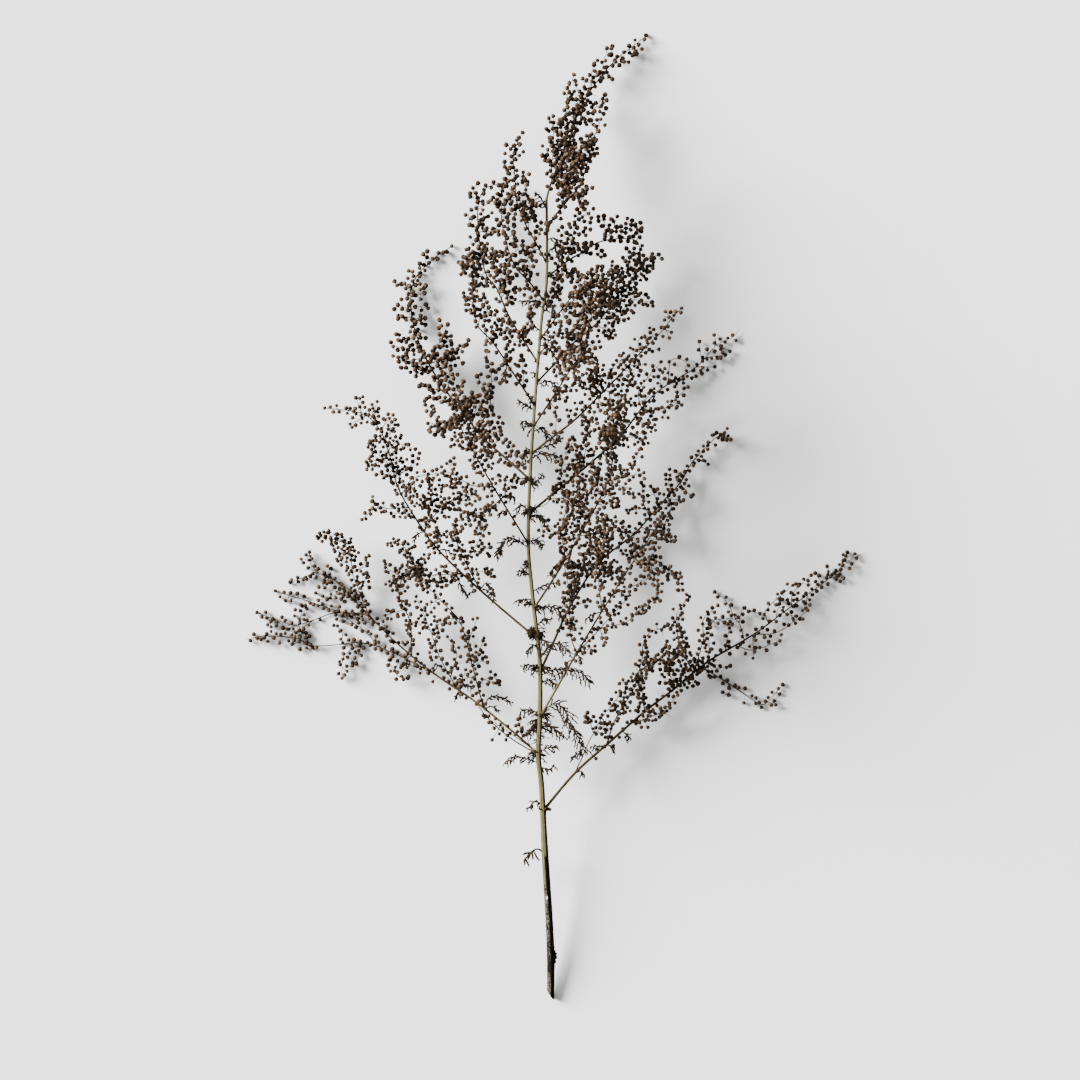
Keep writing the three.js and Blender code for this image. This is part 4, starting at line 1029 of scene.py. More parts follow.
# A dried leaf: a curved rib, bare near its root, with drooping lobes on both sides
def leaf(pile, curve, reach, random, bare=0.15):
    curve = bent(smoothed(curve), 0.12, random)
    lengths = lengths_of(curve)
    total = lengths[-1]
    leaf_rib(pile, curve, np.interp(lengths / total, [0, 0.15, 0.8, 1], [0.5, 0.42, 0.5, 0.15]))
    side = either_side(random)
    length = max(1.2, bare * total)
    while length < total - 0.6:
        point, direction = along(curve, lengths, length)
        aside = sideways(direction, side, 0.4, random)
        way = unit(direction * random.uniform(0.7, 1.5) + aside)
        swell = 0.55 + 0.45 * math.sin(math.pi * (0.2 + 0.65 * (length / total)))
        lobe(pile, point, way, reach * swell * random.uniform(0.6, 1.1), random)
        side = -side
        length += random.uniform(1.0, 1.7)
    begin = max(1.0, bare * total)
    spurs(pile, curve, begin, 0.5, random, spacing=1.4, shortest=1.0, longest=2.2)


# The lobes of the lowest leaf, which hang apart from one another, as x, y pairs
LOWEST_LEAF = [
    [-3.1, 89.0, -5.8, 87.5, -9.5, 83.8], [-3.4, 87.8, -1.9, 85.3, -0.1, 83.2],
    [-4.0, 87.8, -4.4, 85.6, -4.3, 83.8], [-5.5, 87.6, -6.6, 85.6, -7.6, 83.8],
    [-8.3, 85.9, -9.3, 83.6, -9.2, 80.5], [-7.6, 84.2, -7.6, 82.0, -6.3, 79.9],
    [-6.6, 88.4, -8.6, 87.8, -10.3, 87.0],
]


def lowest_leaf(pile, curve, random):
    curve = bent(smoothed(curve), 0.1, random)
    leaf_rib(pile, curve, np.linspace(0.7, 0.45, len(curve)))
    for flat in map(pairs, LOWEST_LEAF):
        start = nearest_point(curve, flat[0])
        line = smoothed(raised(start, flat, random.uniform(-0.2, 0.5)), 4)
        share = np.linspace(0, 1, len(line))
        tone = random.uniform(0.4, 1)
        widths = np.interp(share, [0, 0.3, 0.8, 1], [1.2, 1.8, 1.5, 0.8])
        leaf_blade(pile, line, widths, LOBE_SIDES, tone)
        spurs(pile, line, 1.6, tone, random, spacing=2.2, shortest=0.6, longest=1.3)


# Small leaves on the side wood of each spray: their ribs as x, y pairs
TUFTS = {
    "left_spray_1": [
        [-32.6, 176.5, -31, 180.7, -26.3, 182.2, -21.3, 180.7, -16.6, 178.3],
        [-32.2, 175.2, -28, 175.6, -24.7, 172.7],
        [-47.4, 185.3, -45.7, 188.6, -42.3, 188.2, -40.2, 186.1],
        [-47.8, 184.4, -49.9, 183.2, -51.2, 181.1], [-66, 198, -63, 201, -59, 200],
        [-77, 207, -80, 204, -79, 200],
    ],
    "left_spray_2": [
        [-35.6, 245.9, -33.1, 249.7, -30.5, 248.8, -28.4, 244.6, -27.2, 239.6],
        [-27.6, 239.6, -29, 243, -31, 245, -34, 247],
        [-49, 257, -49.1, 252.2, -46.6, 247.1, -43.6, 243.1, -39.8, 245.9],
        [-47.8, 257.7, -50.3, 254.8, -53.3, 251.4], [-60, 268, -56, 270, -53, 267],
        [-70, 281, -74, 279, -75, 275],
    ],
    "left_spray_4": [[-19, 293, -23, 293, -25, 289], [-23, 300, -19, 303, -15, 300]],
    "left_spray_5": [[-19, 379, -21, 376, -22.6, 372]],
    "right_spray_1": [
        [21.6, 136, 25, 137, 25.5, 133.5], [25.7, 147.7, 22.4, 147.4, 18.6, 144.8],
        [40.8, 153.1, 38.9, 152.3, 35.1, 151.9, 30.1, 151.6], [40.8, 153.1, 43, 152, 44.4, 149],
        [37, 168, 40, 166, 45, 165], [51.5, 162.5, 52, 159, 53.5, 155.5],
    ],
    "right_spray_2": [
        [20, 204, 17.5, 203.4, 15, 198.5, 12.5, 196.5, 9.7, 194.3], [21, 206, 24, 205, 25, 201],
        [36, 230.3, 31.8, 231.2, 26.7, 227.8],
    ],
    "right_spray_3": [[14, 227, 18, 226, 20, 222]],
    "right_spray_4": [[14.1, 264, 9, 259.8, 5.6, 254.8]],
    "right_spray_5": [[12, 307, 15, 305, 16, 301]],
    "right_spray_6": [[-1.0, 330, 4.5, 332.5, 9, 334, 14, 337]],
}


# A small leaf starts on the nearest wood of its spray
def tuft(pile, curves, flat, random):
    start = nearest_point(np.vstack(curves), flat[0])
    curve = kept_inside(raised(start, flat, random.uniform(-0.1, 0.5)), 0.6)
    leaf(pile, curve, random.uniform(1.8, 2.8), random, bare=0.3)


# Curled dark threads in a ball: where they are as x and y, how wide and how many
NESTS = {
    "left_spray_2": [(-4.4, 221.0, 4.8, 70), (-0.4, 219.0, 3.0, 24)],
    "left_spray_3": [(-5.3, 311.8, 2.6, 34)], "right_spray_5": [(-5.8, 294.2, 3.0, 40)],
    "right_spray_4": [(-8.4, 261.5, 2.0, 18)],
}


def nest(pile, x, y, wide, count, random):
    middle, radius = stem_at(y)
    centre = np.array([x, y, middle[2] + 0.6 * radius])
    for k in range(count):
        out = unit(random.normal(0, 1, 3) * [1.0, 0.8, 0.8])
        root = centre + out * wide * random.uniform(0.15, 0.7)
        run = unit(unit(np.cross(out, random.normal(0, 1, 3))) + out * random.uniform(-0.3, 0.7))
        curl = random.normal(0, 0.35, 3) - 0.7 * out + np.array([0, -0.2, -0.1])
        line = kept_inside(curling(root, run, curl, random.uniform(1.8, 3.8), 6), 0.5)
        widths = [0.6, 0.9, 0.95, 0.95, 0.95, 0.7]
        leaf_blade(pile, line, widths, BLADE_SIDES, random.uniform(0, 1))


# Young lobes that spread from the stem: how far up, to which side and how many, and how long
LOBES = {
    "left_spray_1": [(147.5, -1, 4, 5.0), (146.0, 1, 4, 5.0), (163.5, -1, 7, 7.5)],
    "right_spray_2": [(170.5, 1, 6, 8.0), (169.0, -1, 4, 5.0), (163.0, 1, 5, 8.0)],
    "left_spray_2": [(221.0, 1, 6, 6.5), (219.0, -1, 3, 4.0)],
    "right_spray_3": [(199.3, 1, 6, 6.0), (200.0, -1, 5, 5.5)],
    "right_spray_4": [(235.4, 1, 5, 5.5), (238.5, -1, 4, 5.5), (261.5, -1, 3, 5.0)],
    "right_spray_5": [(292.0, -1, 5, 5.0), (290.0, 1, 3, 4.0)],
    "left_spray_3": [(311.0, -1, 5, 5.5), (309.0, 1, 3, 4.5)],
    "right_spray_6": [(329.0, -1, 3, 4.5)], "left_spray_5": [(345.0, -1, 4, 5.0)],
    "right_spray_7": [(360.0, -1, 4, 4.5)], "left_spray_6": [(376.0, -1, 3, 4.0)],
    "right_spray_9": [(398.0, 1, 4, 4.5)], "left_spray_7": [(418.0, 1, 3, 4.0)],
    "right_spray_10": [(436.0, 1, 4, 4.5)],
}


def young_lobes(pile, y, side, count, longest, random):
    for k in range(count):
        middle, radius = stem_at(y + random.normal(0, 0.8))
        way = unit(np.array([side, random.uniform(-0.6, 0.7), random.uniform(-0.3, 0.5)]))
        root = middle + way * radius * 0.7
        lobe(pile, root, way, longest * random.uniform(0.55, 1.0), random)


# Thin stalks beside the branch of each spray: their line as x, y pairs, how thick they are
# and how many heads they carry
STALKS = {
    "left_spray_1": [
        ([-2.5, 146.0, -17.9, 157.2, -30.4, 168.0, -37.5, 177.0], 0.46, 4),
        ([-6.5, 152.5, -9.3, 160.8, -12.2, 164.6, -10.8, 168.6], 0.24, 5),
    ],
    "left_spray_2": [([-48.6, 257.4, -57.1, 256.9, -64.8, 254.5], 0.34, 2)],
    "right_spray_5": [
        ([-1.2, 296.4, 3, 297, 7.2, 300.6, 14.4, 301.2, 18, 300.6], 0.32, 16),
        ([-1.8, 291, 0, 287, 2.4, 281.4, 8, 278], 0.26, 12),
        ([-0.6, 292, 3, 288, 6, 283.5, 10.5, 279.5], 0.26, 12),
    ],
}
STALK_SLOPE = 0.05


def side_stalk(pile, curves, flat, thick, heads, size, random):
    start = nearest_point(np.vstack(curves), flat[0])
    line = smoothed(raised(start, flat, STALK_SLOPE))
    line = kept_inside(bent(line, 0.12, random), 0.5)
    tube(pile, line, np.linspace(1.15, 0.8, len(line)) * thick, RIB_SIDES, WOOD, age_and_shade=0.25)
    lengths = lengths_of(line)
    for k in range(heads):
        point, direction = along(line, lengths, lengths[-1] * random.uniform(0.35, 1.0))
        way = leaning(direction, random.uniform(0, FULL_TURN), random.uniform(0.6, 1.2))
        nodding_head(pile, point, way, random.uniform(0.6, 2.6), size, random)


# A place at some share of the stem's radius, at a turn about the stem, and the way out from it
def off_stem(middle, radius, turn, share, rise):
    out = np.array([math.cos(turn), 0, math.sin(turn)])
    return middle + out * radius * share, out + [0, rise, 0]


# Stretches of the stem with hairs: from where to where, and how many
HAIRY = {"left_spray_1": [(149, 162, 34)]}


# Short dark hairs on both sides of a stretch of the stem
def stem_hairs(pile, low, high, count, random):
    for k in range(count):
        middle, radius = stem_at(random.uniform(low, high))
        turn = random.choice([0, math.pi]) + random.normal(0, 0.5)
        root, out = off_stem(middle, radius, turn, 0.92, random.normal(-0.3, 0.4))
        bract(pile, root, unit(out), random.uniform(1.2, 3.0), random, width=0.22)


# Dark pointed scales round the place where a branch leaves the stem. Where the radius of the
# stem is THICK_STEM their number is SCALES, and they are fewer and smaller on a thinner stem.
SCALES = 24
THICK_STEM = 1.4


def collar(pile, branch, random):
    middle, radius = stem_at(branch[0, 1])
    share = radius / THICK_STEM
    run = unit(branch[2] - branch[0])
    for k in range(int(SCALES * share)):
        turn = random.uniform(0, 2 * math.pi)
        root, out = off_stem(middle, radius, turn, 0.9, random.normal(0.0, 0.6))
        out = unit(out + run * random.uniform(0.5, 1.6))
        root = root + run * random.uniform(0, 2.2)
        bract(pile, root, out, share * random.uniform(1.2, 2.8), random, width=0.45 * share)


FINE = "_fine"


def add_object(name, data):
    made = bpy.data.objects.new(name, data)
    bpy.context.scene.collection.objects.link(made)
    return made


def finish_piece(pile, node, materials):
    piece = add_object(node + FINE, pile.mesh(node + FINE, materials))
    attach(piece, "root")
    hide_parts(node)


# How much all surfaces shine
SPECULAR = 0.05


# Node helpers for the surround and the materials
class Nodes:
    def __init__(self, owner):
        owner.use_nodes = True
        self.tree = owner.node_tree

    def node(self, kind, **settings):
        made = self.tree.nodes.new(kind)
        for key, value in settings.items():
            setattr(made, key, value)
        return made

    def link(self, source, socket):
        if isinstance(source, (int, float)):
            socket.default_value = source
        elif isinstance(source, tuple):
            socket.default_value = (*source, 1)
        else:
            self.tree.links.new(source, socket)

    def vector(self, operation, source, value):
        made = self.node("ShaderNodeVectorMath", operation=operation)
        self.link(source, made.inputs[0])
        made.inputs[1].default_value = value
        return made.outputs

    def step(self, value, low, high, bottom=0.0, top=1.0, kind="SMOOTHSTEP"):
        made = self.node("ShaderNodeMapRange", interpolation_type=kind)
        self.link(value, made.inputs["Value"])
        limits = {"From Min": low, "From Max": high, "To Min": bottom, "To Max": top}
        for label, limit in limits.items():
            made.inputs[label].default_value = limit
        return made.outputs["Result"]


class Shader(Nodes):
    def __init__(self, name):
        self.material = bpy.data.materials.new(name)
        super().__init__(self.material)
        self.surface = self.tree.nodes["Principled BSDF"]
        self.place = self.node("ShaderNodeTexCoord").outputs["Object"]

    def share(self, name):
        return self.node("ShaderNodeAttribute", attribute_name=name).outputs["Fac"]

    def noise(self, scale, detail, stretch=None):
        made = self.node("ShaderNodeTexNoise")
        made.inputs["Scale"].default_value = scale
        made.inputs["Detail"].default_value = detail
        place = self.place
        if stretch:
            mapping = self.node("ShaderNodeMapping")
            mapping.inputs["Scale"].default_value = stretch
            self.link(place, mapping.inputs["Vector"])
            place = mapping.outputs["Vector"]
        self.link(place, made.inputs["Vector"])
        return made.outputs["Fac"]

    def math(self, operation, first, second):
        made = self.node("ShaderNodeMath", operation=operation)
        self.link(first, made.inputs[0])
        self.link(second, made.inputs[1])
        return made.outputs[0]

    def times(self, first, second):
        return self.math("MULTIPLY", first, second)

    def plus(self, first, second):
        return self.math("ADD", first, second)

    def less(self, first, second):
        return self.math("SUBTRACT", first, second)

    def mix(self, share, first, second):
        made = self.node("ShaderNodeMix", data_type="RGBA")
        self.link(share, made.inputs[0])
        self.link(first, made.inputs[6])
        self.link(second, made.inputs[7])
        return made.outputs[2]

    # One inside an ellipsoid about a place in the tracing, and nought outside it
    def near(self, place, size):
        away = self.vector("SUBTRACT", self.place, (np.array(place) - ORIGIN) * MM)
        scaled = self.vector("DIVIDE", away[0], np.array(size) * MM)
        return self.step(self.vector("LENGTH", scaled[0], (0, 0, 0))["Value"], 1.05, 0.9)

    def bump(self, height, strength, distance):
        made = self.node("ShaderNodeBump")
        made.inputs["Strength"].default_value = strength
        made.inputs["Distance"].default_value = distance
        self.link(height, made.inputs["Height"])
        self.link(made.outputs["Normal"], self.surface.inputs["Normal"])

    def finish(self, colour, roughness):
        self.link(colour, self.surface.inputs["Base Color"])
        self.link(roughness, self.surface.inputs["Roughness"])
        self.surface.inputs["Specular IOR Level"].default_value = SPECULAR
        return self.material


# Colours as linear red, green and blue
KHAKI = (0.102, 0.082, 0.034)
PALE_KHAKI = (0.162, 0.136, 0.065)
OLIVE = (0.047, 0.035, 0.014)
DARK_OLIVE = (0.01, 0.007, 0.0034)
WOOD_BROWN = (0.047, 0.0295, 0.0155)
DARK_BROWN = (0.015, 0.0088, 0.0048)
HEAD_BROWN = (0.0165, 0.0078, 0.0032)
HEAD_TAN = (0.118, 0.071, 0.04)
HEAD_DARK = (0.0022, 0.001, 0.0005)
LEAF_BROWN = (0.0075, 0.0043, 0.0029)
LEAF_OLIVE = (0.024, 0.016, 0.0085)
BARK_GREY = (0.088, 0.073, 0.05)
FOOT_BLACK = (0.001, 0.0008, 0.0006)
CUT_WOOD = (0.5, 0.43, 0.32)
WHITE = (1.0, 1.0, 1.0)
FLOOR_DIM = (0.79, 0.79, 0.79)
FLOOR_BRIGHT = (0.81, 0.81, 0.81)


# Khaki bark with fine lengthwise ribs. It is darker on its right, partly its own colour and
# partly painted shade on the side away from the light. The foot is grey and mottled, and black
# on its right, with a pale chip in the black. Tone is here how far to the right a point is, and
# age how far up the stem.
def stem_bark():
    shader = Shader("stem_bark")
    grain = shader.noise(900, 6, (1.0, 0.06, 1.0))
    blotch = shader.noise(160, 4)
    colour = shader.mix(shader.step(grain, 0.36, 0.66), OLIVE, KHAKI)
    ridge = shader.math("MINIMUM", shader.share("edge"), 1.0)
    colour = shader.mix(shader.times(ridge, 0.6), colour, PALE_KHAKI)
    valley = shader.times(shader.step(ridge, 0.3, 0.08), 0.75)
    colour = shader.mix(valley, colour, DARK_OLIVE)
    right = shader.share("tone")
    wander = shader.times(shader.less(blotch, 0.5), 0.5)
    # Painted shade, partly the bark's own colour: darker towards the right, away from the light
    shade = shader.step(shader.plus(right, wander), 0.64, 0.78)
    colour = shader.mix(shader.times(shade, 0.92), colour, DARK_OLIVE)
    left_rim = shader.times(shader.step(right, 0.1, 0.03), 0.7)
    colour = shader.mix(left_rim, colour, DARK_OLIVE)
    length = shader.share("age_and_shade")
    foot = shader.step(length, 0.176, 0.11)
    speckle = shader.noise(1500, 3, (1.0, 0.75, 1.0))
    dark_patch = shader.near((5.6, 25.0, 8.0), (3.0, 11.0, 9.0))
    speckle = shader.less(speckle, shader.times(dark_patch, 0.07))
    mottled = shader.mix(shader.step(speckle, 0.44, 0.54), FOOT_BLACK, BARK_GREY)
    colour = shader.mix(shader.times(foot, 0.92), colour, mottled)
    # Black on the right of the foot and in patches
    below = shader.step(length, 0.181, 0.177)
    lower = shader.step(length, 0.15, 0.1)
    reach = shader.plus(right, shader.times(wander, 0.7))
    reach = shader.less(reach, shader.times(lower, 0.1))
    black_share = shader.step(reach, 0.34, 0.4)
    patch = shader.times(shader.step(blotch, 0.55, 0.6), 0.8)
    black_share = shader.times(below, shader.math("MAXIMUM", black_share, patch))
    colour = shader.mix(black_share, colour, FOOT_BLACK)
    chip = shader.near((4.1, 61.0, 16.5), (0.7, 1.4, 3.0))
    colour = shader.mix(chip, colour, CUT_WOOD)
    cut = shader.step(shader.share("edge"), 1.2, 1.8)
    colour = shader.mix(cut, colour, CUT_WOOD)
    shader.bump(grain, 0.5, 0.00025)
    return shader.finish(colour, 0.72)


# Wood that is olive near the stem and dark brown further out
def spray_wood():
    shader = Shader("spray_wood")
    grain = shader.noise(1400, 5)
    age_and_shade = shader.share("age_and_shade")
    young = shader.mix(shader.step(grain, 0.35, 0.65), OLIVE, KHAKI)
    old = shader.mix(shader.step(grain, 0.42, 0.72), DARK_BROWN, WOOD_BROWN)
    colour = shader.mix(shader.step(age_and_shade, 0.05, 0.85), young, old)
    shader.bump(grain, 0.4, 0.0001)
    return shader.finish(colour, 0.75)


# Dry brown flower heads with paler bract rims, with painted shade at the neck and on the
# side away from the light
def head_bracts():
    shader = Shader("head_bracts")
    speck = shader.noise(1300, 4)
    tone = shader.share("tone")
    colour = shader.mix(shader.step(tone, 0.25, 1.05), HEAD_BROWN, HEAD_TAN)
    colour = shader.mix(shader.step(speck, 0.62, 0.4), colour, HEAD_DARK)
    colour = shader.mix(shader.times(shader.share("edge"), 0.4), colour, HEAD_TAN)
    # Painted shade at the neck and on the side away from the light, read from the age share
    colour = shader.mix(shader.step(shader.share("age_and_shade"), 0.5, 0.05), colour, HEAD_DARK)
    shader.bump(speck, 0.5, 0.0002)
    return shader.finish(colour, 0.62)


# Dark crisp leaves with a hint of olive
def dried_leaf():
    shader = Shader("dried_leaf")
    speck = shader.noise(1500, 4)
    tone = shader.share("tone")
    colour = shader.mix(shader.step(speck, 0.35, 0.7), LEAF_BROWN, LEAF_OLIVE)
    colour = shader.mix(shader.times(shader.step(tone, 0.5, 1.0), 0.6), colour, WOOD_BROWN)
    shader.bump(speck, 0.5, 0.00015)
    return shader.finish(colour, 0.7)


def pale_floor():
    shader = Shader("pale_floor")
    return shader.finish(shader.mix(shader.noise(3, 2), FLOOR_DIM, FLOOR_BRIGHT), 0.9)


# The stem: ridges along its length, swollen where branches leave it. Its foot is cut off
# slanting: low on the right, and on the left higher by the slant. The cut face is made of
# rings of its own, at shares of the stem's radius, and its edge share marks it.
STEM_SIDES = 48
STEM_STEPS = 18
RIDGES = 6
SLANT = 5.2
CUT_EDGE = 2.0
FACE_SHARES = (0.12, 0.45, 0.8)
FOOT_LENGTH = 22
NODE_SWELL = 0.16
NODE_LENGTH = 1.8
STEM_MARGIN = 0.03


# The middle of the stem and its radius, thinner and further left at the foot
def stem_middle():
    line = smoothed(STEM_RINGS[:, :3], STEM_STEPS)
    radius = np.interp(line[:, 1], STEM_RINGS[:, 1], STEM_RINGS[:, 3])
    low = np.clip(1 - line[:, 1] / FOOT_LENGTH, 0, 1)
    radius = radius * (1 - 0.1 * low)
    line[:, 0] -= 0.6 * low
    for spray in SPRAYS[1:]:
        away = (line[:, 1] - spray.path[1]) / NODE_LENGTH
        radius = radius * (1 + NODE_SWELL * np.exp(-away ** 2))
    return line, radius


# The foot of the stem pushed up along its run, further on the left
def slant_foot(rings, line, right, run, random):
    foot = SLANT * np.maximum(0.44 - 0.56 * right, 0) ** 1.4
    foot = foot + random.uniform(-0.1, 0.5, STEM_SIDES) * (1 - right)
    bottom = int(np.searchsorted(line[:, 1], SLANT + 3.0))
    for k in range(bottom):
        push = np.maximum(foot, 0) * (1 - k / bottom)
        rings[k] += run * push[:, None]


# The rough rings of the cut face, from its middle out
def cut_face(start, out, reach, run, random):
    face = []
    for share in FACE_SHARES:
        level = SLANT * 0.5 * (1 - share * out[:, 0]) + random.uniform(-0.2, 0.3, STEM_SIDES)
        level += 0.5 * (1 - share)
        face.append(start + out * (reach * share)[:, None] + run * level[:, None])
    return np.array(face)


def make_stem(material):
    random = np.random.RandomState(STEM_SEED)
    line, radius = stem_middle()
    across, aside = frames_along(line)
    angle = angles_of(STEM_SIDES)
    ridge = 0.5 + 0.5 * np.cos(RIDGES * angle)
    fine = 0.5 + 0.5 * np.cos(4 * RIDGES * angle)
    waver = 1 + 0.012 * random.normal(0, 1, (len(line), 1))
    fuller = 1 + 0.12 * (line[:, 1:2] / STEM_TOP) ** 2
    fuller = fuller + 0.12 * np.exp(-((line[:, 1:2] - 50) / 52) ** 4)
    reach = radius[:, None] * (0.96 + 0.09 * ridge + 0.03 * fine) * waver * fuller
    out = across[:, None] * np.cos(angle)[None, :, None]
    out = out + aside[:, None] * np.sin(angle)[None, :, None]
    rings = line[:, None] + out * reach[:, :, None]
    run = unit(line[2] - line[0])
    slant_foot(rings, line, out[0, :, 0], run, random)
    count = len(FACE_SHARES)
    rings = np.concatenate([cut_face(line[0], out[0], reach[0], run, random), rings])
    middle = np.vstack([np.repeat(line[:1], count, axis=0), line])
    wide = np.concatenate([radius[:1].repeat(count), radius])
    side = (rings - middle[:, None])[:, :, 0] / wide[:, None]
    tone = np.clip(0.5 + 0.5 * side, 0, 1)
    age_and_shade = rings[:, :, 1] / STEM_TOP
    edge = np.repeat((0.6 * ridge + 0.4 * fine)[None], len(rings), axis=0)
    edge[:count] = CUT_EDGE
    vertices = np.vstack([rings.reshape(-1, 3), rings[0].mean(0), line[-1]])
    vertices = kept_inside(vertices, STEM_MARGIN)
    shares = [spread(value, STEM_SIDES) for value in (tone, age_and_shade, edge)]
    pile = Pile()
    pile.add(vertices, *tube_faces(len(rings), STEM_SIDES), WOOD, *shares)
    knob(pile, random)
    finish_piece(pile, "main_stem", [material])


# Rough bumps on the right near the foot, where a side shoot was lost: how far up each is,
# how far out and how large
KNOB = [
    (31.2, 2.3, 1.0), (27.2, 3.3, 1.2), (25.2, 3.0, 1.5), (22.6, 2.5, 1.4), (28.8, 2.4, 1.2),
    (19.8, 2.0, 1.1),
]


def knob(pile, random):
    for y, out, size in KNOB:
        beside, _ = stem_at(y)
        start = beside + [0.6, -1.3 * size, 0]
        end = beside + [out, 0.9 * size, 0.1]
        line = smoothed(np.array([start, beside + [out - 0.5, 0, 0.1], end]))
        share = np.linspace(0, 1, len(line))
        radii = size * np.interp(share, [0, 0.35, 0.7, 0.92, 1], [0.6, 1.0, 0.95, 0.6, 0.2])
        relief = 1 + random.normal(0, 0.06, (len(line), KNOB_SIDES))
        tube(pile, line, radii, KNOB_SIDES, WOOD, tone=0.9, age_and_shade=0.06, edge=0.1, relief=relief)


# Each spray's habit: the size of its heads, how long their stalks are and how far apart
# the heads stand
Habit = namedtuple("Habit", "size stalk spacing")
USUAL_HABIT = Habit(1.3, 1.8, 1.4)
CLOSE_HABIT = Habit(1.5, 0.8, 1.32)
HABITS = {
    "leader_spray": Habit(1.52, 0.6, 1.6), "right_spray_11": CLOSE_HABIT,
    "right_spray_10": CLOSE_HABIT, "right_spray_9": CLOSE_HABIT,
    "right_spray_8": Habit(1.38, 1.5, 1.28), "right_spray_7": Habit(1.42, 1.0, 1.28),
    "left_spray_3": CLOSE_HABIT, "left_spray_5": Habit(1.43, 0.9, 1.33),
    "left_spray_6": CLOSE_HABIT, "left_spray_7": CLOSE_HABIT, "left_spray_8": CLOSE_HABIT,
}

# How much of a sprig near its spray's root is bare
BARE_SPRIGS = {
    ("right_spray_1", 1): 26, ("left_spray_1", 1): 12, ("left_spray_1", 2): 8,
    ("right_spray_2", 1): 9, ("right_spray_3", 1): 8, ("right_spray_4", 1): 6,
}

# The share of a branch on which heads are few, where it isn't the usual one
SPARSE = {"right_spray_1": 0.4, "left_spray_3": 0.42}
USUAL_SPARSE = 0.6


# A branch runs into the stem in line with its next stretch
def straight_root(curve):
    out = curve.copy()
    run = curve[1] - curve[2]
    y = curve[1, 1] + run[1] / run[0] * (curve[0, 0] - curve[1, 0])
    out[0], _ = stem_at(float(np.clip(y, curve[0, 1] - 3.0, curve[0, 1] + 0.3)))
    return out


# The leader is the first spray, and goes on from the top of the stem
LEADER = 0


def leader_root(curve):
    return np.vstack([STEM_RINGS[-1, :3] - [0, 0.3, 0], curve[1:]])


# The curves of a spray's wood, each sprig starting on the wood that carries it
def spray_curves(i, random):
    curves, carriers = placed_sprigs[i]
    root = leader_root if i == LEADER else straight_root
    fine = [smoothed(root(curves[0]))]
    for curve, which in zip(curves[1:], carriers[1:]):
        start = nearest_point(fine[which], curve[0, :2])
        fine.append(bent(smoothed(np.vstack([start, curve[1:]])), 0.1, random))
    fine[0] = kept_inside(fine[0], 0.4)
    return fine


# The wood of a spray, which thins towards its tips and is browner further out
def add_wood(pile, i, spray, fine):
    branch = fine[0]
    lengths = lengths_of(branch)
    total = lengths[-1]
    if i == LEADER:
        root, swell = STEM_RINGS[-1, 3], 1.0
        shade = np.clip(lengths / 12, 0, 1)
    else:
        root, swell = 0.5 + 0.0017 * total, 1.35
        young = float(np.interp(branch[0, 1], [160, 260], [0.1, 0.6]))
        shade = np.clip(young + lengths / (0.7 * max(total, 90)), 0, 1)
    tip = BARE_TIP if spray.bare_tip else BRANCH_TIP
    radii = np.interp(lengths / total, [0, 0.02, 0.5, 1], [root * swell, root, 0.78 * root, tip])
    tube(pile, branch, radii, BRANCH_SIDES, WOOD, age_and_shade=shade)
    for curve in fine[1:]:
        reach = lengths_of(curve)
        share = reach / reach[-1]
        radii = np.interp(share, [0, 0.06, 1], [SPRIG_ROOT * 1.5, SPRIG_ROOT, SPRIG_TIP])
        radii = radii * (0.85 + min(reach[-1], 80) / 130)
        tube(pile, curve, radii, SPRIG_SIDES, WOOD, age_and_shade=0.7)


# Heads on the ends of a spray's wood, and then all along it
def add_heads(pile, i, spray, fine, habit, random):
    for k, curve in enumerate(fine):
        if k > 0 or not spray.bare_tip:
            run = unit(curve[-1] - curve[-2])
            nodding_head(pile, curve[-1], run, 0.0, habit.size, random)
    for k, curve in enumerate(fine):
        reach = lengths_of(curve)[-1]
        if k == 0:
            begin, finish = spray.bare_root * 0.8, reach - spray.bare_tip
        else:
            begin, finish = min(2.2, 0.25 * reach), reach - 1.0
        begin = BARE_SPRIGS.get((spray.name, k), begin)
        sparse = 0.0
        if k == 0 and i != LEADER:
            sparse = SPARSE.get(spray.name, USUAL_SPARSE) * reach
        dress_curve(pile, curve, begin, finish, habit, random, sparse)


# A spray: its branch, its sprigs and all that grows on them
def make_spray(i, spray, materials):
    pile = Pile()
    random = np.random.RandomState(SPRAY_SEED + i)
    fine = spray_curves(i, random)
    habit = HABITS.get(spray.name, USUAL_HABIT)
    add_wood(pile, i, spray, fine)
    add_heads(pile, i, spray, fine, habit, random)
    for flat in TUFTS.get(spray.name, ()):
        tuft(pile, fine, pairs(flat), random)
    for flat, thick, heads in STALKS.get(spray.name, ()):
        side_stalk(pile, fine, pairs(flat), thick, heads, habit.size, random)
    for row in HAIRY.get(spray.name, ()):
        stem_hairs(pile, *row, random)
    for row in NESTS.get(spray.name, ()):
        nest(pile, *row, random)
    for row in LOBES.get(spray.name, ()):
        young_lobes(pile, *row, random)
    if i != LEADER:
        collar(pile, fine[0], random)
    finish_piece(pile, spray.name, materials)


# Leaves that start lower on the stem than their rib does, and where
LOWER_ROOTS = {"leaf_08_right": 171.5}


def make_leaf(k, name, curve, material):
    pile = Pile()
    random = np.random.RandomState(LEAF_SEED + k)
    reach = 2.2 + 0.1 * lengths_of(curve)[-1]
    if name in LOWER_ROOTS:
        curve = np.vstack([stem_at(LOWER_ROOTS[name])[0], curve[1:]])
    if name == "leaf_01_left":
        lowest_leaf(pile, curve, random)
    else:
        leaf(pile, kept_inside(curve, 0.7), reach, random)
    finish_piece(pile, name, [material])


# How far the floor reaches from the middle, in metres
FLOOR_REACH = 6.0


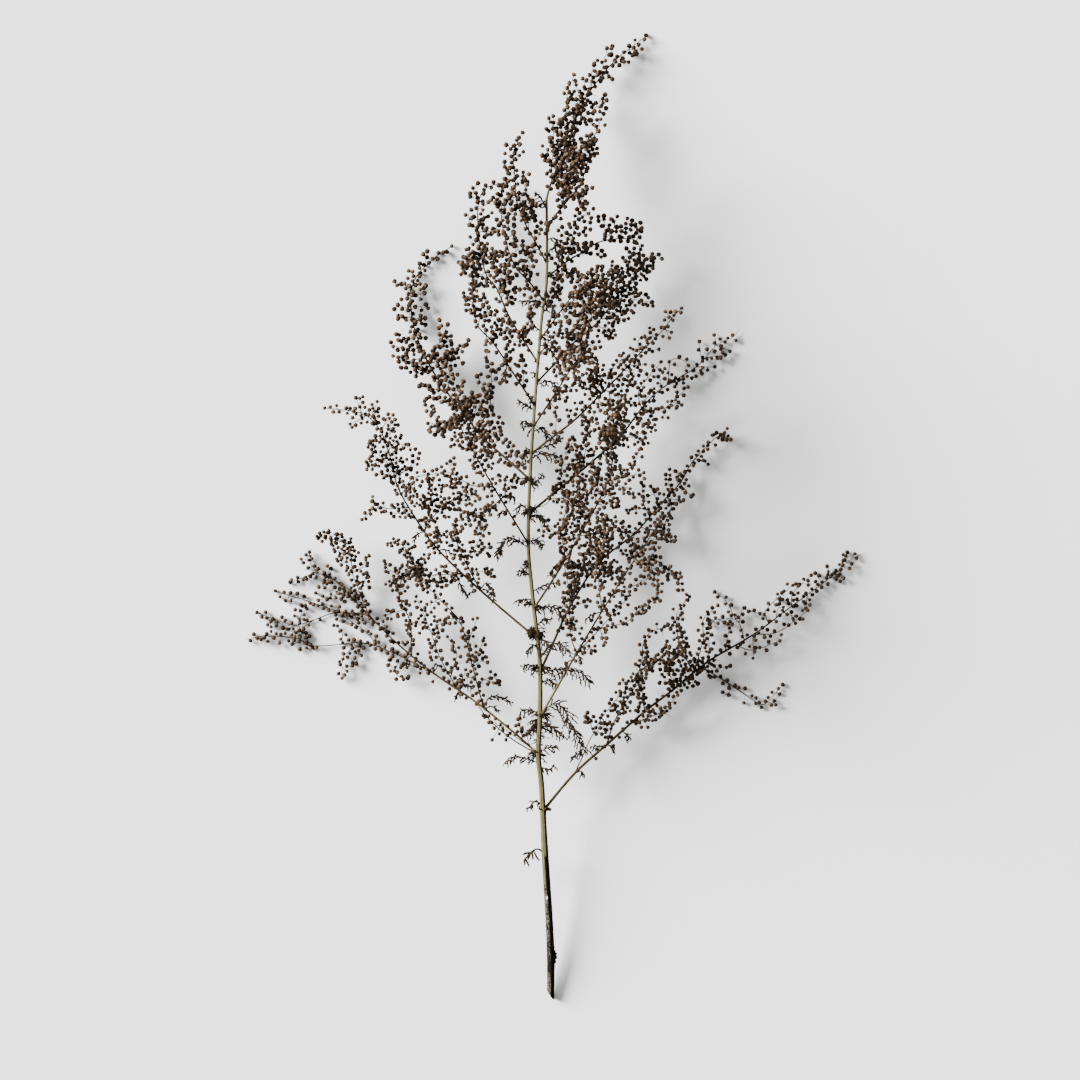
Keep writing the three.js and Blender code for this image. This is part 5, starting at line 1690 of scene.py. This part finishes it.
# A wide pale floor under the plant
def make_floor():
    mesh = bpy.data.meshes.new("floor")
    corners = np.array([(-1, -1, 0), (1, -1, 0), (1, 1, 0), (-1, 1, 0)]) * FLOOR_REACH
    mesh.from_pydata(corners, [], [(0, 1, 2, 3)])
    mesh.materials.append(pale_floor())
    add_object("floor", mesh)


# How wide the view is and where its middle lies, in metres
VIEW_WIDTH = 0.648
VIEW_MIDDLE = (-0.0099, -0.0144)
MEAN_HEIGHT = 0.04


# A camera straight above, far away with a long lens, so that heights hardly shift
def make_camera():
    data = bpy.data.cameras.new("camera")
    data.sensor_width = 36.0
    data.lens = 1200.0
    data.clip_end = 100.0
    camera = add_object("camera", data)
    distance = VIEW_WIDTH * data.lens / data.sensor_width
    camera.location = (*VIEW_MIDDLE, MEAN_HEIGHT + distance)
    bpy.context.scene.camera = camera


# Where the light comes from, how strong it is and how far it spreads in degrees, and how bright
# the surround is on its two sides
KEY_SIDE = (-0.83, 0.4, 0.38)
KEY_ENERGY = 23.5
KEY_SPREAD = 32
DIM_SIDE = 0.06
BRIGHT_SIDE = 0.95


# A bright surround that is brighter on the upper left, and a soft light from there
def make_lights():
    world = bpy.data.worlds.new("surround")
    nodes = Nodes(world)
    place = nodes.node("ShaderNodeTexCoord").outputs["Generated"]
    facing = nodes.vector("DOT_PRODUCT", place, KEY_SIDE)["Value"]
    strength = nodes.step(facing, -1.0, 1.0, DIM_SIDE, BRIGHT_SIDE, "LINEAR")
    background = nodes.tree.nodes["Background"]
    nodes.link(WHITE, background.inputs["Color"])
    nodes.link(strength, background.inputs["Strength"])
    bpy.context.scene.world = world
    data = bpy.data.lights.new("key", "SUN")
    data.energy = KEY_ENERGY
    data.angle = math.radians(KEY_SPREAD)
    key = add_object("key", data)
    key.rotation_euler = Vector(KEY_SIDE).to_track_quat("Z", "Y").to_euler()


bark = stem_bark()
wood = spray_wood()
bracts = head_bracts()
dried = dried_leaf()
make_stem(bark)
for i, spray in enumerate(SPRAYS):
    make_spray(i, spray, [wood, bracts, dried])
for k, (name, rib) in enumerate(LEAVES):
    make_leaf(k, name, leaf_curves[k], dried)
make_floor()
make_camera()
make_lights()
